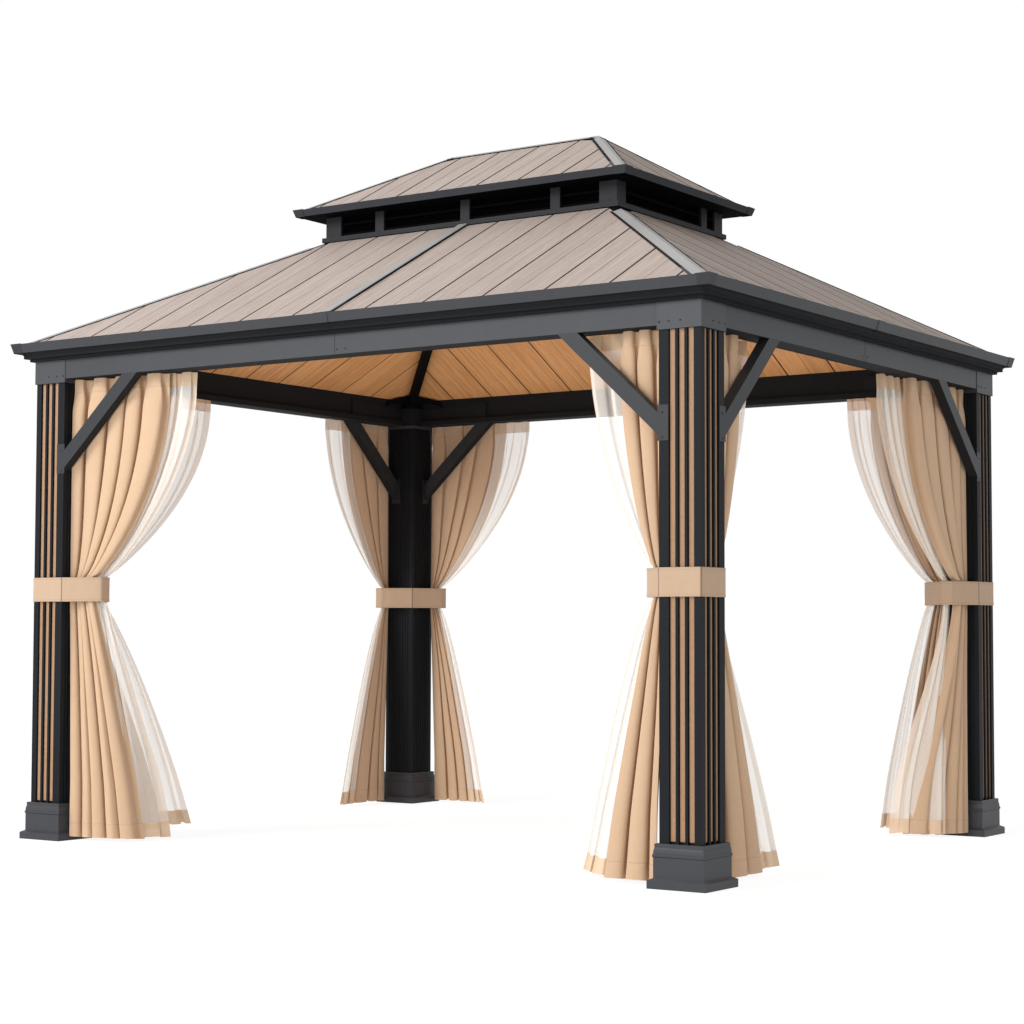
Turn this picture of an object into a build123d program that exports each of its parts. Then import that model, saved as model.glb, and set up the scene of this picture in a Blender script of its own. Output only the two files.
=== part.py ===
from build123d import *
from math import atan, degrees, sqrt
import os

# Metal gazebo, 12 by 10 ft over the gutters, with a two-tier hip roof,
# four slotted square posts, knee braces and gathered curtains.
# Origin: centre of the footprint on the ground. X runs along the long side,
# the front long side faces -Y, and Z is up.  Millimetres throughout.

# Beam ring, measured over its outer faces
beam_length = 3514
beam_width = 2842
head_height = 2100
beam_thickness = 90
beam_wall = 4
track_depth = 22
track_height = 28
track_wall = 2
track_slot = 8

# Eave cornice and gutter
beam_face = 87
cornice_height = 79
gutter_overhang = 82
gutter_depth = 41
gutter_rake = 12
gutter_wall = 6
gutter_back = 8
cornice_step = 20
cornice_rise = 13
joint_cover_width = 70
corner_cover_width = 62
cover_sheet = 2

# Posts
post_width = 180
post_inset = 4
post_corner_bar = 30
post_slot = 28
post_thin_bar = 12
post_slot_count = 3
post_slot_depth = 14
post_wall = 3
rib_width = 9
rib_pitch = 18
rib_depth = 3
rib_margin = 22
infill_width = 23
infill_thickness = 6
infill_recess = 8
infill_foot = 10

# Boots at the feet of the posts
boot_width = 250
boot_flange = 30
boot_slope = 9
boot_plinth = 214
boot_plinth_height = 80
boot_neck = 194
boot_height = 165

# Post heads
cap_thickness = 17
cap_overhang = 6
cover_thickness = 2.5
head_block_height = 96
bracket_length = 620
bracket_thickness = 3
bracket_height = 68
head_plate_width = 110
head_plate_thickness = 9
head_plate_height = 82

# Knee braces
brace_drop = 415
brace_foot_cut = 82
brace_reach = 453
brace_thickness = 45
brace_gap = 4
brace_plate_top = 33
brace_plate_bottom = 20
brace_plate_thickness = 3
brace_plate_lip = 6

# Lower roof
eave_setback = 35
eave_drop = 4
roof_run = 947
roof_rise_at_vent = 530
roof_thickness = 20
lining_thickness = 70
hip_rafter_width = 40
hip_rafter_depth = 60
mid_rafter_depth = 52
stub_width = 50
strut_width = 26
strut_reach = 290
strut_drop = 34
strut_bow = 300
hip_cap_width = 76
cap_sheet = 4
cap_clearance = 1
mid_batten_width = 46
mid_batten_height = 14

# Vent between the two roofs
vent_wall = 40
vent_base_drop = 90
vent_curb_height = 22
vent_curb_reach = 14
vent_corner_width = 90
vent_corner_side_width = 75
vent_post_width = 50
vent_post_spacing = 490
vent_side_post_inset = 174
louvre_height = 9
louvre_thickness = 14
louvre_pitch = 48
louvre_first = 12

# Upper roof
upper_overhang = 111
vent_rise = 119
upper_fascia_height = 31
upper_fascia_rake = 10
upper_fascia_wall = 6
soffit_thickness = 5
upper_setback = 18
eave_cover_width = 58
ridge_half = 420
upper_roof_rise = 304
upper_cap_width = 58
ridge_cap_width = 60

# Gathered curtains and their ties
curtain_gap = 0.3
curtain_depth = 72
tucked_curtain_depth = 38
hem_height = 12
shoulder_share = 0.86
shoulder_height = 0.55
skirt_share = 0.42
skirt_height = 0.65
boot_flare_rise = 95
tie_height = 1080
tie_width = 110
tie_thickness = 3
tie_gap = 0.4
tie_slack = 6

# Values worked out from the sizes above
half_length = beam_length / 2
half_width = beam_width / 2
cornice_bottom = head_height + beam_face
gutter_top = cornice_bottom + cornice_height
eave_height = gutter_top - eave_drop
eave_out = gutter_overhang - eave_setback
eave_x = half_length + eave_out
eave_y = half_width + eave_out
roof_slope = roof_rise_at_vent / (roof_run + eave_out)
roof_apex = eave_height + eave_y * roof_slope
beam_top_outer = eave_height + eave_out * roof_slope - roof_thickness - lining_thickness
beam_top_inner = beam_top_outer + beam_thickness * roof_slope
vent_x = half_length - roof_run
vent_y = half_width - roof_run
vent_roof_line = eave_height + roof_rise_at_vent
vent_floor = vent_roof_line - vent_base_drop
post_centre = post_inset + post_width / 2
post_far = post_inset + post_width
slots_span = post_slot_count * post_slot + (post_slot_count - 1) * post_thin_bar
post_end_bar = post_width - post_corner_bar - slots_span
post_top = head_height - cap_thickness
brace_foot = head_height - brace_drop
brace_slope = brace_drop / brace_reach
brace_setback = post_inset - brace_plate_thickness
tucked_brace_setback = beam_thickness - brace_thickness
near = post_far + cap_overhang + curtain_gap
tie_top = tie_height + tie_width
boot_far = post_centre + boot_width / 2 + curtain_gap
boot_flare_foot = boot_flange + boot_slope + boot_plinth_height
boot_flare_top = boot_height + boot_flare_rise
upper_x = vent_x + upper_overhang
upper_y = vent_y + upper_overhang
upper_eave_bottom = vent_roof_line + vent_rise
soffit_top = upper_eave_bottom + soffit_thickness
upper_edge = soffit_top + roof_thickness
ridge_height = upper_edge + upper_roof_rise
sky = ridge_height * 2

CORNERS = {
    "front_left": (-1, -1),
    "front_right": (1, -1),
    "rear_left": (-1, 1),
    "rear_right": (1, 1),
}

# At this corner the braces stand inside the curtains, elsewhere outside them
TUCKED_CORNER = "rear_left"

# Reach of each curtain from its post: at the top, at the tie band, at the hem.
# The first of a pair hangs along the long beam, the second along the short one.
CURTAIN_REACH = {
    "front_left": ((760, 150, 700), (900, 150, 700)),
    "front_right": ((360, 90, 400), (330, 90, 560)),
    "rear_left": ((700, 110, 460), (600, 100, 510)),
    "rear_right": ((520, 110, 460), (850, 170, 860)),
}

os.makedirs("parts", exist_ok=True)


def save(part, name):
    """Label a finished piece and write its file."""
    part.label = name
    export_step(part, f"parts/{name}.step")


def inward(corner, along, across):
    """Plan point measured inwards from an outer corner of the beam ring."""
    return (corner[0] * (half_length - along), corner[1] * (half_width - across))


def hip_mass(half_x, half_y, eave_z, ridge_x, ridge_z):
    """Solid under a hip roof: a gable along X met by a gable along Y."""
    with BuildPart() as mass:
        with BuildSketch(Plane.XZ):
            with BuildLine():
                Polyline((-half_x, eave_z), (half_x, eave_z), (ridge_x, ridge_z), (-ridge_x, ridge_z),
                         close=True)
            make_face()
        extrude(amount=half_y, both=True)
        with BuildSketch(Plane.YZ):
            with BuildLine():
                Polyline((-half_y, eave_z), (half_y, eave_z), (0, ridge_z), close=True)
            make_face()
        extrude(amount=half_x, both=True, mode=Mode.INTERSECT)
    return mass.part


def plan_prism(points, bottom, top):
    """Upright prism over a plan outline."""
    with BuildPart() as prism:
        with BuildSketch(Plane.XY.offset(bottom)):
            with BuildLine():
                Polyline(*points, close=True)
            make_face()
        extrude(amount=top - bottom)
    return prism.part


def diagonal_strip(start, end, width, bottom, top):
    """Upright slab of a given width that stands over a line on plan."""
    run = Vector(*end) - Vector(*start)
    side = Vector(-run.Y, run.X).normalized() * (width / 2)
    first, last = Vector(*start), Vector(*end)
    points = [first + side, last + side, last - side, first - side]
    return plan_prism([(p.X, p.Y) for p in points], bottom, top)


def side_plane(side):
    """Plane whose X points out of a side, Y points up, with its origin on that side's beam face."""
    if side in ("front", "back"):
        sign = -1 if side == "front" else 1
        return Plane(origin=(0, sign * half_width, 0), x_dir=(0, sign, 0), z_dir=(sign, 0, 0))
    sign = -1 if side == "left" else 1
    return Plane(origin=(sign * half_length, 0, 0), x_dir=(sign, 0, 0), z_dir=(0, -sign, 0))


def bay_plane(corner, along_x):
    """Upright plane on a beam's outer face, X running inwards from the corner and Y up.

    The second value is the direction, along the plane's normal, that leads inwards.
    """
    origin = (corner[0] * half_length, corner[1] * half_width, 0)
    if along_x:
        plane = Plane(origin=origin, x_dir=(-corner[0], 0, 0), z_dir=(0, corner[0], 0))
        return plane, -corner[0] * corner[1]
    plane = Plane(origin=origin, x_dir=(0, -corner[1], 0), z_dir=(-corner[1], 0, 0))
    return plane, corner[0] * corner[1]


def side_sector(side, far_x, far_y, meet):
    """Plan wedge of one side of a hip roof, from its far corners to where the hips meet."""
    if side in ("front", "back"):
        sign = -1 if side == "front" else 1
        points = [(-far_x, sign * far_y), (far_x, sign * far_y), (meet, 0), (-meet, 0)]
    else:
        sign = -1 if side == "left" else 1
        points = [(sign * far_x, -far_y), (sign * far_x, far_y), (sign * meet, 0)]
    return plan_prism(points, 0, sky)


def half_span(side):
    """Half of the beam ring's length along a side."""
    return half_length if side in ("front", "back") else half_width


SIDES = ("front", "back", "left", "right")
mitre_reach = gutter_overhang * 2
SECTORS = {
    side: side_sector(side, half_length + mitre_reach, half_width + mitre_reach, half_length - half_width)
    for side in SIDES
}


# Posts: extruded sections, slotted on the two outer faces and ribbed on the inner ones

def post_section(corner):
    slot_step = post_slot + post_thin_bar
    first_slot = post_inset + post_corner_bar + post_slot / 2
    slot_places = [first_slot + i * slot_step for i in range(post_slot_count)]
    core = post_width - 2 * (post_slot_depth + post_wall)
    rib_count = int((post_width - 2 * rib_margin) / rib_pitch) + 1
    rib_start = post_centre - (rib_count - 1) * rib_pitch / 2
    rib_places = [rib_start + i * rib_pitch for i in range(rib_count)]
    with BuildSketch() as section:
        with Locations(inward(corner, post_centre, post_centre)):
            Rectangle(post_width, post_width)
            Rectangle(core, core, mode=Mode.SUBTRACT)
        slot_middle = post_inset + post_slot_depth / 2
        with Locations([inward(corner, place, slot_middle) for place in slot_places]):
            Rectangle(post_slot, post_slot_depth, mode=Mode.SUBTRACT)
        with Locations([inward(corner, slot_middle, place) for place in slot_places]):
            Rectangle(post_slot_depth, post_slot, mode=Mode.SUBTRACT)
        rib_line = post_far - rib_depth / 2
        with Locations([inward(corner, place, rib_line) for place in rib_places]):
            Rectangle(rib_width, rib_depth, mode=Mode.SUBTRACT)
        with Locations([inward(corner, rib_line, place) for place in rib_places]):
            Rectangle(rib_depth, rib_width, mode=Mode.SUBTRACT)
    return section.sketch, slot_places


for name, corner in CORNERS.items():
    section, slot_places = post_section(corner)
    with BuildPart() as post:
        add(section)
        extrude(amount=post_top)
    save(post.part, f"post_{name}")

# Wood-look strips that stand in the slots of all four posts

infill_middle = post_inset + infill_recess + infill_thickness / 2
with BuildPart() as infills:
    for corner in CORNERS.values():
        with BuildSketch(Plane.XY.offset(boot_height + infill_foot)):
            with Locations([inward(corner, place, infill_middle) for place in slot_places]):
                Rectangle(infill_width, infill_thickness)
            with Locations([inward(corner, infill_middle, place) for place in slot_places]):
                Rectangle(infill_thickness, infill_width)
        extrude(amount=post_top - boot_height - infill_foot)
save(infills.part, "post_infills")

# Boots: a moulded skirt swept round the foot of each post

for name, corner in CORNERS.items():
    centre = inward(corner, post_centre, post_centre)
    post_face = post_width / 2
    with BuildPart() as boot:
        with BuildLine(Plane(origin=(centre[0], centre[1], 0))) as foot_path:
            Polyline((0, -post_face), (post_face, -post_face), (post_face, post_face),
                     (-post_face, post_face), (-post_face, -post_face), close=True)
        flange = boot_width / 2 - post_face
        plinth = boot_plinth / 2 - post_face
        neck = boot_neck / 2 - post_face
        plinth_bottom = boot_flange + boot_slope
        plinth_top = plinth_bottom + boot_plinth_height
        start = Plane(origin=(centre[0], centre[1] - post_face, 0), x_dir=(0, -1, 0), z_dir=(-1, 0, 0))
        with BuildSketch(start):
            with BuildLine():
                Polyline((0, boot_height), (0, 0), (flange, 0), (flange, boot_flange),
                         (plinth, plinth_bottom), (plinth, plinth_top))
                RadiusArc((plinth, plinth_top), (neck, boot_height), -(plinth_top - plinth_bottom))
                Line((neck, boot_height), (0, boot_height))
            make_face()
        sweep(path=foot_path.line, transition=Transition.RIGHT)
    save(boot.part, f"boot_{name}")

# Post heads: a cap plate, a block inside the beam corner, brackets along the
# inner sides of the beams that end in a thicker plate above each knee brace,
# and cover plates over the outer corner

for name, corner in CORNERS.items():
    track_top = head_height + track_height
    with BuildPart() as head:
        with BuildSketch(Plane.XY.offset(post_top)):
            with Locations(inward(corner, post_centre, post_centre)):
                Rectangle(post_width + 2 * cap_overhang, post_width + 2 * cap_overhang)
        extrude(amount=cap_thickness)
        block = post_far - beam_thickness
        with BuildSketch(Plane.XY.offset(head_height)):
            with Locations(inward(corner, post_far - block / 2, post_far - block / 2)):
                Rectangle(block, block)
        extrude(amount=head_block_height)
        bracket_middle = beam_thickness + bracket_thickness / 2
        bracket_run = bracket_length - beam_thickness
        bracket_centre = beam_thickness + bracket_run / 2
        with BuildSketch(Plane.XY.offset(track_top)):
            with Locations(inward(corner, bracket_centre, bracket_middle)):
                Rectangle(bracket_run, bracket_thickness)
            with Locations(inward(corner, bracket_middle, bracket_centre)):
                Rectangle(bracket_thickness, bracket_run)
        extrude(amount=bracket_height)
        head_plate_place = bracket_length - head_plate_width / 2
        head_plate_middle = beam_thickness + head_plate_thickness / 2
        with BuildSketch(Plane.XY.offset(track_top)):
            with Locations(inward(corner, head_plate_place, head_plate_middle)):
                Rectangle(head_plate_width, head_plate_thickness)
            with Locations(inward(corner, head_plate_middle, head_plate_place)):
                Rectangle(head_plate_thickness, head_plate_width)
        extrude(amount=head_plate_height)
        cover_run = post_far + cap_overhang + cover_thickness
        cover_middle = -cover_thickness + cover_run / 2
        with BuildSketch(Plane.XY.offset(post_top)):
            with Locations(inward(corner, cover_middle, -cover_thickness / 2)):
                Rectangle(cover_run, cover_thickness)
            with Locations(inward(corner, -cover_thickness / 2, cover_middle)):
                Rectangle(cover_thickness, cover_run)
        extrude(amount=cornice_bottom - post_top)
    save(head.part, f"post_head_{name}")

# Knee braces: two to each post, from the post's end bar to the beam


def brace(corner, along_x, tucked):
    """One raking bar with a plate where it meets the post."""
    upper_foot = brace_foot + brace_foot_cut
    upper_head = post_far + (head_height - upper_foot) / brace_slope
    outline = [
        (post_far, brace_foot),
        (post_far + brace_reach, head_height),
        (upper_head, head_height),
        (post_far, upper_foot),
    ]
    plane, depth_sign = bay_plane(corner, along_x)
    setback = tucked_brace_setback if tucked else brace_setback
    plate_height = brace_foot_cut + brace_plate_top + brace_plate_bottom
    plate_middle = brace_foot - brace_plate_bottom + plate_height / 2
    with BuildPart() as bar:
        with BuildSketch(plane.offset(depth_sign * setback)):
            with BuildLine():
                Polyline(*outline, close=True)
            make_face()
        extrude(amount=depth_sign * brace_thickness)
        if tucked:
            with BuildSketch(plane.offset(depth_sign * (setback - brace_plate_lip))):
                with Locations((post_far + brace_plate_thickness / 2, plate_middle)):
                    Rectangle(brace_plate_thickness, plate_height)
            extrude(amount=depth_sign * (brace_thickness + 2 * brace_plate_lip))
        else:
            with BuildSketch(plane.offset(depth_sign * setback)):
                with Locations((post_far + (brace_plate_lip - post_end_bar) / 2, plate_middle)):
                    Rectangle(post_end_bar + brace_plate_lip, plate_height)
            extrude(amount=depth_sign * brace_plate_thickness)
    return bar.part


with BuildPart() as braces:
    for name, corner in CORNERS.items():
        add(brace(corner, True, name == TUCKED_CORNER))
        add(brace(corner, False, name == TUCKED_CORNER))
save(braces.part, "knee_braces")

# Beams: hollow mitred boxes whose tops follow the roof, with a curtain track inside

for side in SIDES:
    with BuildPart() as beam:
        with BuildSketch(side_plane(side)):
            with BuildLine():
                Polyline((0, head_height), (0, beam_top_outer), (-beam_thickness, beam_top_inner),
                         (-beam_thickness, head_height), close=True)
            make_face()
            offset(amount=-beam_wall, mode=Mode.SUBTRACT)
        extrude(amount=half_length, both=True)
        add(SECTORS[side], mode=Mode.INTERSECT)
        with BuildSketch(side_plane(side)):
            with Locations((-beam_thickness - track_depth / 2, head_height + track_height / 2)):
                Rectangle(track_depth, track_height)
                Rectangle(track_depth - 2 * track_wall, track_height - 2 * track_wall, mode=Mode.SUBTRACT)
            with Locations((-beam_thickness - track_depth / 2, head_height + track_wall / 2)):
                Rectangle(track_slot, track_wall, mode=Mode.SUBTRACT)
        extrude(amount=half_span(side) - post_far, both=True)
    save(beam.part, f"beam_{side}")

# Gutters: a stepped cornice that carries a raked trough, one length to a side

gutter_bottom = gutter_top - gutter_depth
rake = gutter_rake / gutter_depth
trough_floor = gutter_bottom + gutter_wall
for side in SIDES:
    with BuildPart() as gutter:
        with BuildSketch(side_plane(side)):
            with BuildLine():
                Polyline(
                    (0, cornice_bottom),
                    (cornice_step, cornice_bottom),
                    (cornice_step, cornice_bottom + cornice_rise),
                    (2 * cornice_step, cornice_bottom + cornice_rise),
                    (2 * cornice_step, cornice_bottom + 2 * cornice_rise),
                    (2.5 * cornice_step, gutter_bottom),
                    (gutter_overhang - gutter_rake, gutter_bottom),
                    (gutter_overhang, gutter_top),
                    (gutter_overhang - gutter_wall, gutter_top),
                    (gutter_overhang - gutter_wall - rake * (gutter_top - trough_floor), trough_floor),
                    (gutter_back, trough_floor),
                    (gutter_back, eave_height),
                    (0, eave_height),
                    close=True,
                )
            make_face()
        extrude(amount=half_length + gutter_overhang, both=True)
        cover_end = half_span(side) + gutter_overhang + cover_sheet
        cover_starts = [
            (-cover_end, corner_cover_width + cover_sheet),
            (-joint_cover_width / 2, joint_cover_width),
            (cover_end - corner_cover_width - cover_sheet, corner_cover_width + cover_sheet),
        ]
        for place, width in cover_starts:
            with BuildSketch(side_plane(side).offset(place)):
                with BuildLine():
                    Polyline(
                        (gutter_overhang - gutter_rake - gutter_depth, gutter_bottom - cover_sheet),
                        (gutter_overhang - gutter_rake + cover_sheet, gutter_bottom - cover_sheet),
                        (gutter_overhang + cover_sheet, gutter_top + cover_sheet),
                        (gutter_overhang - gutter_wall, gutter_top + cover_sheet),
                        (gutter_overhang - gutter_wall, gutter_top),
                        (gutter_overhang, gutter_top),
                        (gutter_overhang - gutter_rake, gutter_bottom),
                        (gutter_overhang - gutter_rake - gutter_depth, gutter_bottom),
                        close=True,
                    )
                make_face()
            extrude(amount=width)
        add(SECTORS[side], mode=Mode.INTERSECT)
    save(gutter.part, f"gutter_{side}")

# Lower roof: four panels cut from one hip shell, meeting at mitred hips, each with
# the lining of the ceiling under it from the beams to the vent

ridge_x = eave_x - eave_y
outer_mass = hip_mass(eave_x, eave_y, eave_height, ridge_x, roof_apex)
lower_mass = hip_mass(eave_x, eave_y, eave_height - roof_thickness, ridge_x, roof_apex - roof_thickness)
raised_mass = hip_mass(eave_x, eave_y, eave_height + cap_sheet, ridge_x, roof_apex + cap_sheet)
batten_eave = eave_height + mid_batten_height
batten_mass = hip_mass(eave_x, eave_y, batten_eave, ridge_x, roof_apex + mid_batten_height)
ceiling_apex = beam_top_outer + half_width * roof_slope
ceiling_mass = hip_mass(half_length, half_width, beam_top_outer, ridge_x, ceiling_apex)
with BuildPart() as lining:
    with BuildSketch():
        Rectangle(beam_length, beam_width)
    extrude(amount=sky)
    add(lower_mass, mode=Mode.INTERSECT)
    add(ceiling_mass, mode=Mode.SUBTRACT)
vent_hole = plan_prism([(-vent_x, -vent_y), (vent_x, -vent_y), (vent_x, vent_y), (-vent_x, vent_y)], 0, sky)
for side in SIDES:
    with BuildPart() as panel:
        add(outer_mass)
        add(lower_mass, mode=Mode.SUBTRACT)
        add(lining.part)
        add(vent_hole, mode=Mode.SUBTRACT)
        add(SECTORS[side], mode=Mode.INTERSECT)
    save(panel.part, f"roof_{side}")

# Caps over the four hips and battens over the joint in the middle of the long sides

hip_end = vent_curb_reach + cap_clearance
with BuildPart() as caps:
    for corner in CORNERS.values():
        start = inward(corner, -eave_out + hip_cap_width / 4, -eave_out + hip_cap_width / 4)
        end = inward(corner, roof_run - hip_end - hip_cap_width / 2, roof_run - hip_end - hip_cap_width / 2)
        strip = diagonal_strip(start, end, hip_cap_width, eave_height - roof_thickness, sky)
        add(strip)
    add(raised_mass, mode=Mode.INTERSECT)
    add(outer_mass, mode=Mode.SUBTRACT)
with BuildPart() as battens:
    for sign in (-1, 1):
        foot = (0, sign * (eave_y - cap_clearance))
        add(diagonal_strip(foot, (0, sign * (vent_y + hip_end)), mid_batten_width, 0, sky))
    add(batten_mass, mode=Mode.INTERSECT)
    add(outer_mass, mode=Mode.SUBTRACT)
# Rafters: one under each hip on a stub above the post head, and one at mid-span front and back


def under_roof(inset):
    """Height of the ceiling at a distance in from the beam's outer face."""
    return beam_top_outer + inset * roof_slope


diagonal = sqrt(2)
hip_relief = hip_rafter_width / 2 / diagonal * roof_slope
rafter_foot = beam_thickness + hip_rafter_width
stub_place = post_far - stub_width / 2
head_top = head_height + head_block_height
with BuildPart() as rafters:
    for corner in CORNERS.values():
        origin = (corner[0] * half_length, corner[1] * half_width, 0)
        heading = Vector(-corner[0], -corner[1], 0).normalized()
        upright = Plane(origin=origin, x_dir=heading, z_dir=heading.cross(Vector(0, 0, 1)))
        top_foot = under_roof(rafter_foot) - hip_relief
        top_head = under_roof(roof_run) - hip_relief
        with BuildSketch(upright):
            with BuildLine():
                Polyline((rafter_foot * diagonal, top_foot), (roof_run * diagonal, top_head),
                         (roof_run * diagonal, top_head - hip_rafter_depth),
                         (rafter_foot * diagonal, top_foot - hip_rafter_depth), close=True)
            make_face()
        extrude(amount=hip_rafter_width / 2, both=True)
        with BuildSketch(Plane.XY.offset(head_top)):
            with Locations(inward(corner, stub_place, stub_place)):
                Rectangle(stub_width, stub_width)
        stub_top = under_roof(stub_place - stub_width / 2)
        extrude(amount=stub_top - head_top)
        strut_top = stub_top - strut_width / 2
        for foot in ((strut_reach, beam_thickness), (beam_thickness, strut_reach)):
            stub = Vector(*inward(corner, stub_place, stub_place))
            landing = Vector(*inward(corner, *foot))
            run = (landing - stub).length
            course = (landing - stub).normalized()
            slant = Plane(origin=(stub.X, stub.Y, 0), x_dir=course, z_dir=course.cross(Vector(0, 0, 1)))
            with BuildSketch(slant):
                with BuildLine():
                    tip = (run + strut_width, strut_top - strut_drop)
                    tip_below = (run + strut_width, strut_top - strut_drop - strut_width)
                    RadiusArc((0, strut_top), tip, strut_bow)
                    Line(tip, tip_below)
                    RadiusArc(tip_below, (0, strut_top - strut_width), -strut_bow)
                    Line((0, strut_top - strut_width), (0, strut_top))
                make_face()
            extrude(amount=strut_width / 2, both=True)
    for sign in (-1, 1):
        section = Plane(origin=(0, sign * half_width, 0), x_dir=(0, -sign, 0), z_dir=(-sign, 0, 0))
        with BuildSketch(section):
            with BuildLine():
                Polyline((beam_thickness, beam_top_inner), (roof_run, under_roof(roof_run)),
                         (roof_run, under_roof(roof_run) - mid_rafter_depth),
                         (beam_thickness, beam_top_inner - mid_rafter_depth), close=True)
            make_face()
        extrude(amount=hip_rafter_width / 2, both=True)
    with BuildSketch():
        Rectangle(beam_length, beam_width)
        Rectangle(beam_length - 2 * beam_thickness, beam_width - 2 * beam_thickness, mode=Mode.SUBTRACT)
    extrude(amount=sky, mode=Mode.SUBTRACT)
save(rafters.part, "rafters")

# Vent: a base rail, posts and two louvres on each side

vent_height = upper_eave_bottom - vent_floor
curb_top = vent_roof_line + vent_curb_height
for side in SIDES:
    long_side = side in ("front", "back")
    sign = -1 if side in ("front", "left") else 1
    if long_side:
        span = 2 * vent_x
        corner_post = vent_corner_width
        middle_posts = [-vent_post_spacing, 0, vent_post_spacing]
        wall = Plane(origin=(0, sign * vent_y, 0), x_dir=(1, 0, 0), z_dir=(0, -1, 0))
        face_out = -sign
    else:
        span = 2 * (vent_y - vent_wall)
        corner_post = vent_corner_side_width - vent_wall
        middle_posts = [sign * (vent_y - vent_side_post_inset)]
        wall = Plane(origin=(sign * vent_x, 0, 0), x_dir=(0, 1, 0), z_dir=(1, 0, 0))
        face_out = sign
    with BuildPart() as vent:
        with BuildSketch(wall):
            with Locations((0, (vent_floor + curb_top) / 2)):
                Rectangle(span, curb_top - vent_floor)
            post_middle = (vent_floor + upper_eave_bottom) / 2
            end = span / 2 - corner_post / 2
            with Locations((-end, post_middle), (end, post_middle)):
                Rectangle(corner_post, vent_height)
            with Locations([(place, post_middle) for place in middle_posts]):
                Rectangle(vent_post_width, vent_height)
        extrude(amount=-face_out * vent_wall)
        louvre_plane = wall.offset(-face_out * (vent_wall - louvre_thickness) / 2)
        with BuildSketch(louvre_plane):
            with Locations([(0, curb_top + louvre_first + i * louvre_pitch) for i in range(2)]):
                Rectangle(span, louvre_height)
        extrude(amount=-face_out * louvre_thickness)
    with BuildPart() as flashing:
        curb_span = 2 * ((vent_x if long_side else vent_y) + vent_curb_reach)
        with BuildSketch(wall):
            with Locations((0, vent_roof_line + vent_curb_height / 2)):
                Rectangle(curb_span, vent_curb_height)
        extrude(amount=face_out * vent_curb_reach)
        add(SECTORS[side], mode=Mode.INTERSECT)
        add(outer_mass, mode=Mode.SUBTRACT)
    with BuildPart() as vent_side:
        add(vent.part)
        add(flashing.part)
    save(vent_side.part, f"vent_{side}")

# Upper eave: a raked fascia with covers at its corners and a flat soffit that sits on the vent walls

rake_angle = degrees(atan(upper_fascia_rake / upper_fascia_height))
with BuildPart() as upper_eave:
    with BuildSketch(Plane.XY.offset(upper_eave_bottom)):
        Rectangle(2 * (upper_x - upper_fascia_rake), 2 * (upper_y - upper_fascia_rake))
    extrude(amount=upper_fascia_height, taper=-rake_angle)
    inner_edge = upper_fascia_rake * (1 - soffit_thickness / upper_fascia_height) + upper_fascia_wall
    with BuildSketch(Plane.XY.offset(soffit_top)):
        Rectangle(2 * (upper_x - inner_edge), 2 * (upper_y - inner_edge))
    extrude(amount=upper_fascia_height - soffit_thickness, taper=-rake_angle, mode=Mode.SUBTRACT)
    with BuildSketch(Plane.XY.offset(upper_eave_bottom)):
        Rectangle(2 * (vent_x - vent_wall), 2 * (vent_y - vent_wall))
    extrude(amount=soffit_thickness, mode=Mode.SUBTRACT)
fascia_middle = 2 * (upper_x - upper_fascia_rake), 2 * (upper_y - upper_fascia_rake)
with BuildPart() as eave_covers:
    with BuildSketch(Plane.XY.offset(upper_eave_bottom - cover_sheet)):
        Rectangle(fascia_middle[0] + 2 * cover_sheet, fascia_middle[1] + 2 * cover_sheet)
    extrude(amount=upper_fascia_height + 2 * cover_sheet, taper=-rake_angle)
    with BuildSketch(Plane.XY.offset(upper_eave_bottom)):
        Rectangle(*fascia_middle)
    extrude(amount=upper_fascia_height, taper=-rake_angle, mode=Mode.SUBTRACT)
    lip = upper_setback - cover_sheet
    with BuildSketch():
        Rectangle(2 * (upper_x - lip), 2 * (upper_y - lip))
    extrude(amount=sky, mode=Mode.SUBTRACT)
    with BuildSketch():
        with Locations([(x_sign * upper_x, y_sign * upper_y) for x_sign, y_sign in CORNERS.values()]):
            Rectangle(2 * eave_cover_width, 2 * eave_cover_width)
    extrude(amount=sky, mode=Mode.INTERSECT)
with BuildPart() as covered_eave:
    add(upper_eave.part)
    add(eave_covers.part)
save(covered_eave.part, "upper_eave")

# Upper roof: four panels that stand on the soffit inside the fascia and meet at the hips and ridge

shell_x = upper_x - upper_setback
shell_y = upper_y - upper_setback
upper_outer = hip_mass(shell_x, shell_y, upper_edge, ridge_half, ridge_height)
inner_ridge = ridge_height - roof_thickness
upper_inner = hip_mass(shell_x, shell_y, upper_edge - roof_thickness, ridge_half, inner_ridge)
with BuildPart() as upper_shell:
    add(upper_outer)
    with BuildSketch(Plane.XY.offset(soffit_top)):
        Rectangle(2 * shell_x, 2 * shell_y)
    extrude(amount=roof_thickness)
    add(upper_inner, mode=Mode.SUBTRACT)
for side in SIDES:
    with BuildPart() as upper_panel:
        add(upper_shell.part)
        add(side_sector(side, shell_x, shell_y, ridge_half), mode=Mode.INTERSECT)
    save(upper_panel.part, f"upper_roof_{side}")

# Ridge and hip caps of the upper roof, folded from one sheet thickness

upper_raised = hip_mass(shell_x, shell_y, upper_edge + cap_sheet, ridge_half, ridge_height + cap_sheet)
with BuildPart() as upper_caps:
    for x_sign, y_sign in CORNERS.values():
        eave_point = (x_sign * (shell_x - upper_cap_width / 4), y_sign * (shell_y - upper_cap_width / 4))
        add(diagonal_strip(eave_point, (x_sign * ridge_half, 0), upper_cap_width, 0, sky))
    add(diagonal_strip((-ridge_half, 0), (ridge_half, 0), ridge_cap_width, 0, sky))
    add(upper_raised, mode=Mode.INTERSECT)
    add(upper_outer, mode=Mode.SUBTRACT)
with BuildPart() as roof_caps:
    add(caps.part)
    add(battens.part)
    add(upper_caps.part)
save(roof_caps.part, "roof_caps")

# Curtains: each hangs from its track, is drawn in at the tie and flares to the hem


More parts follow.
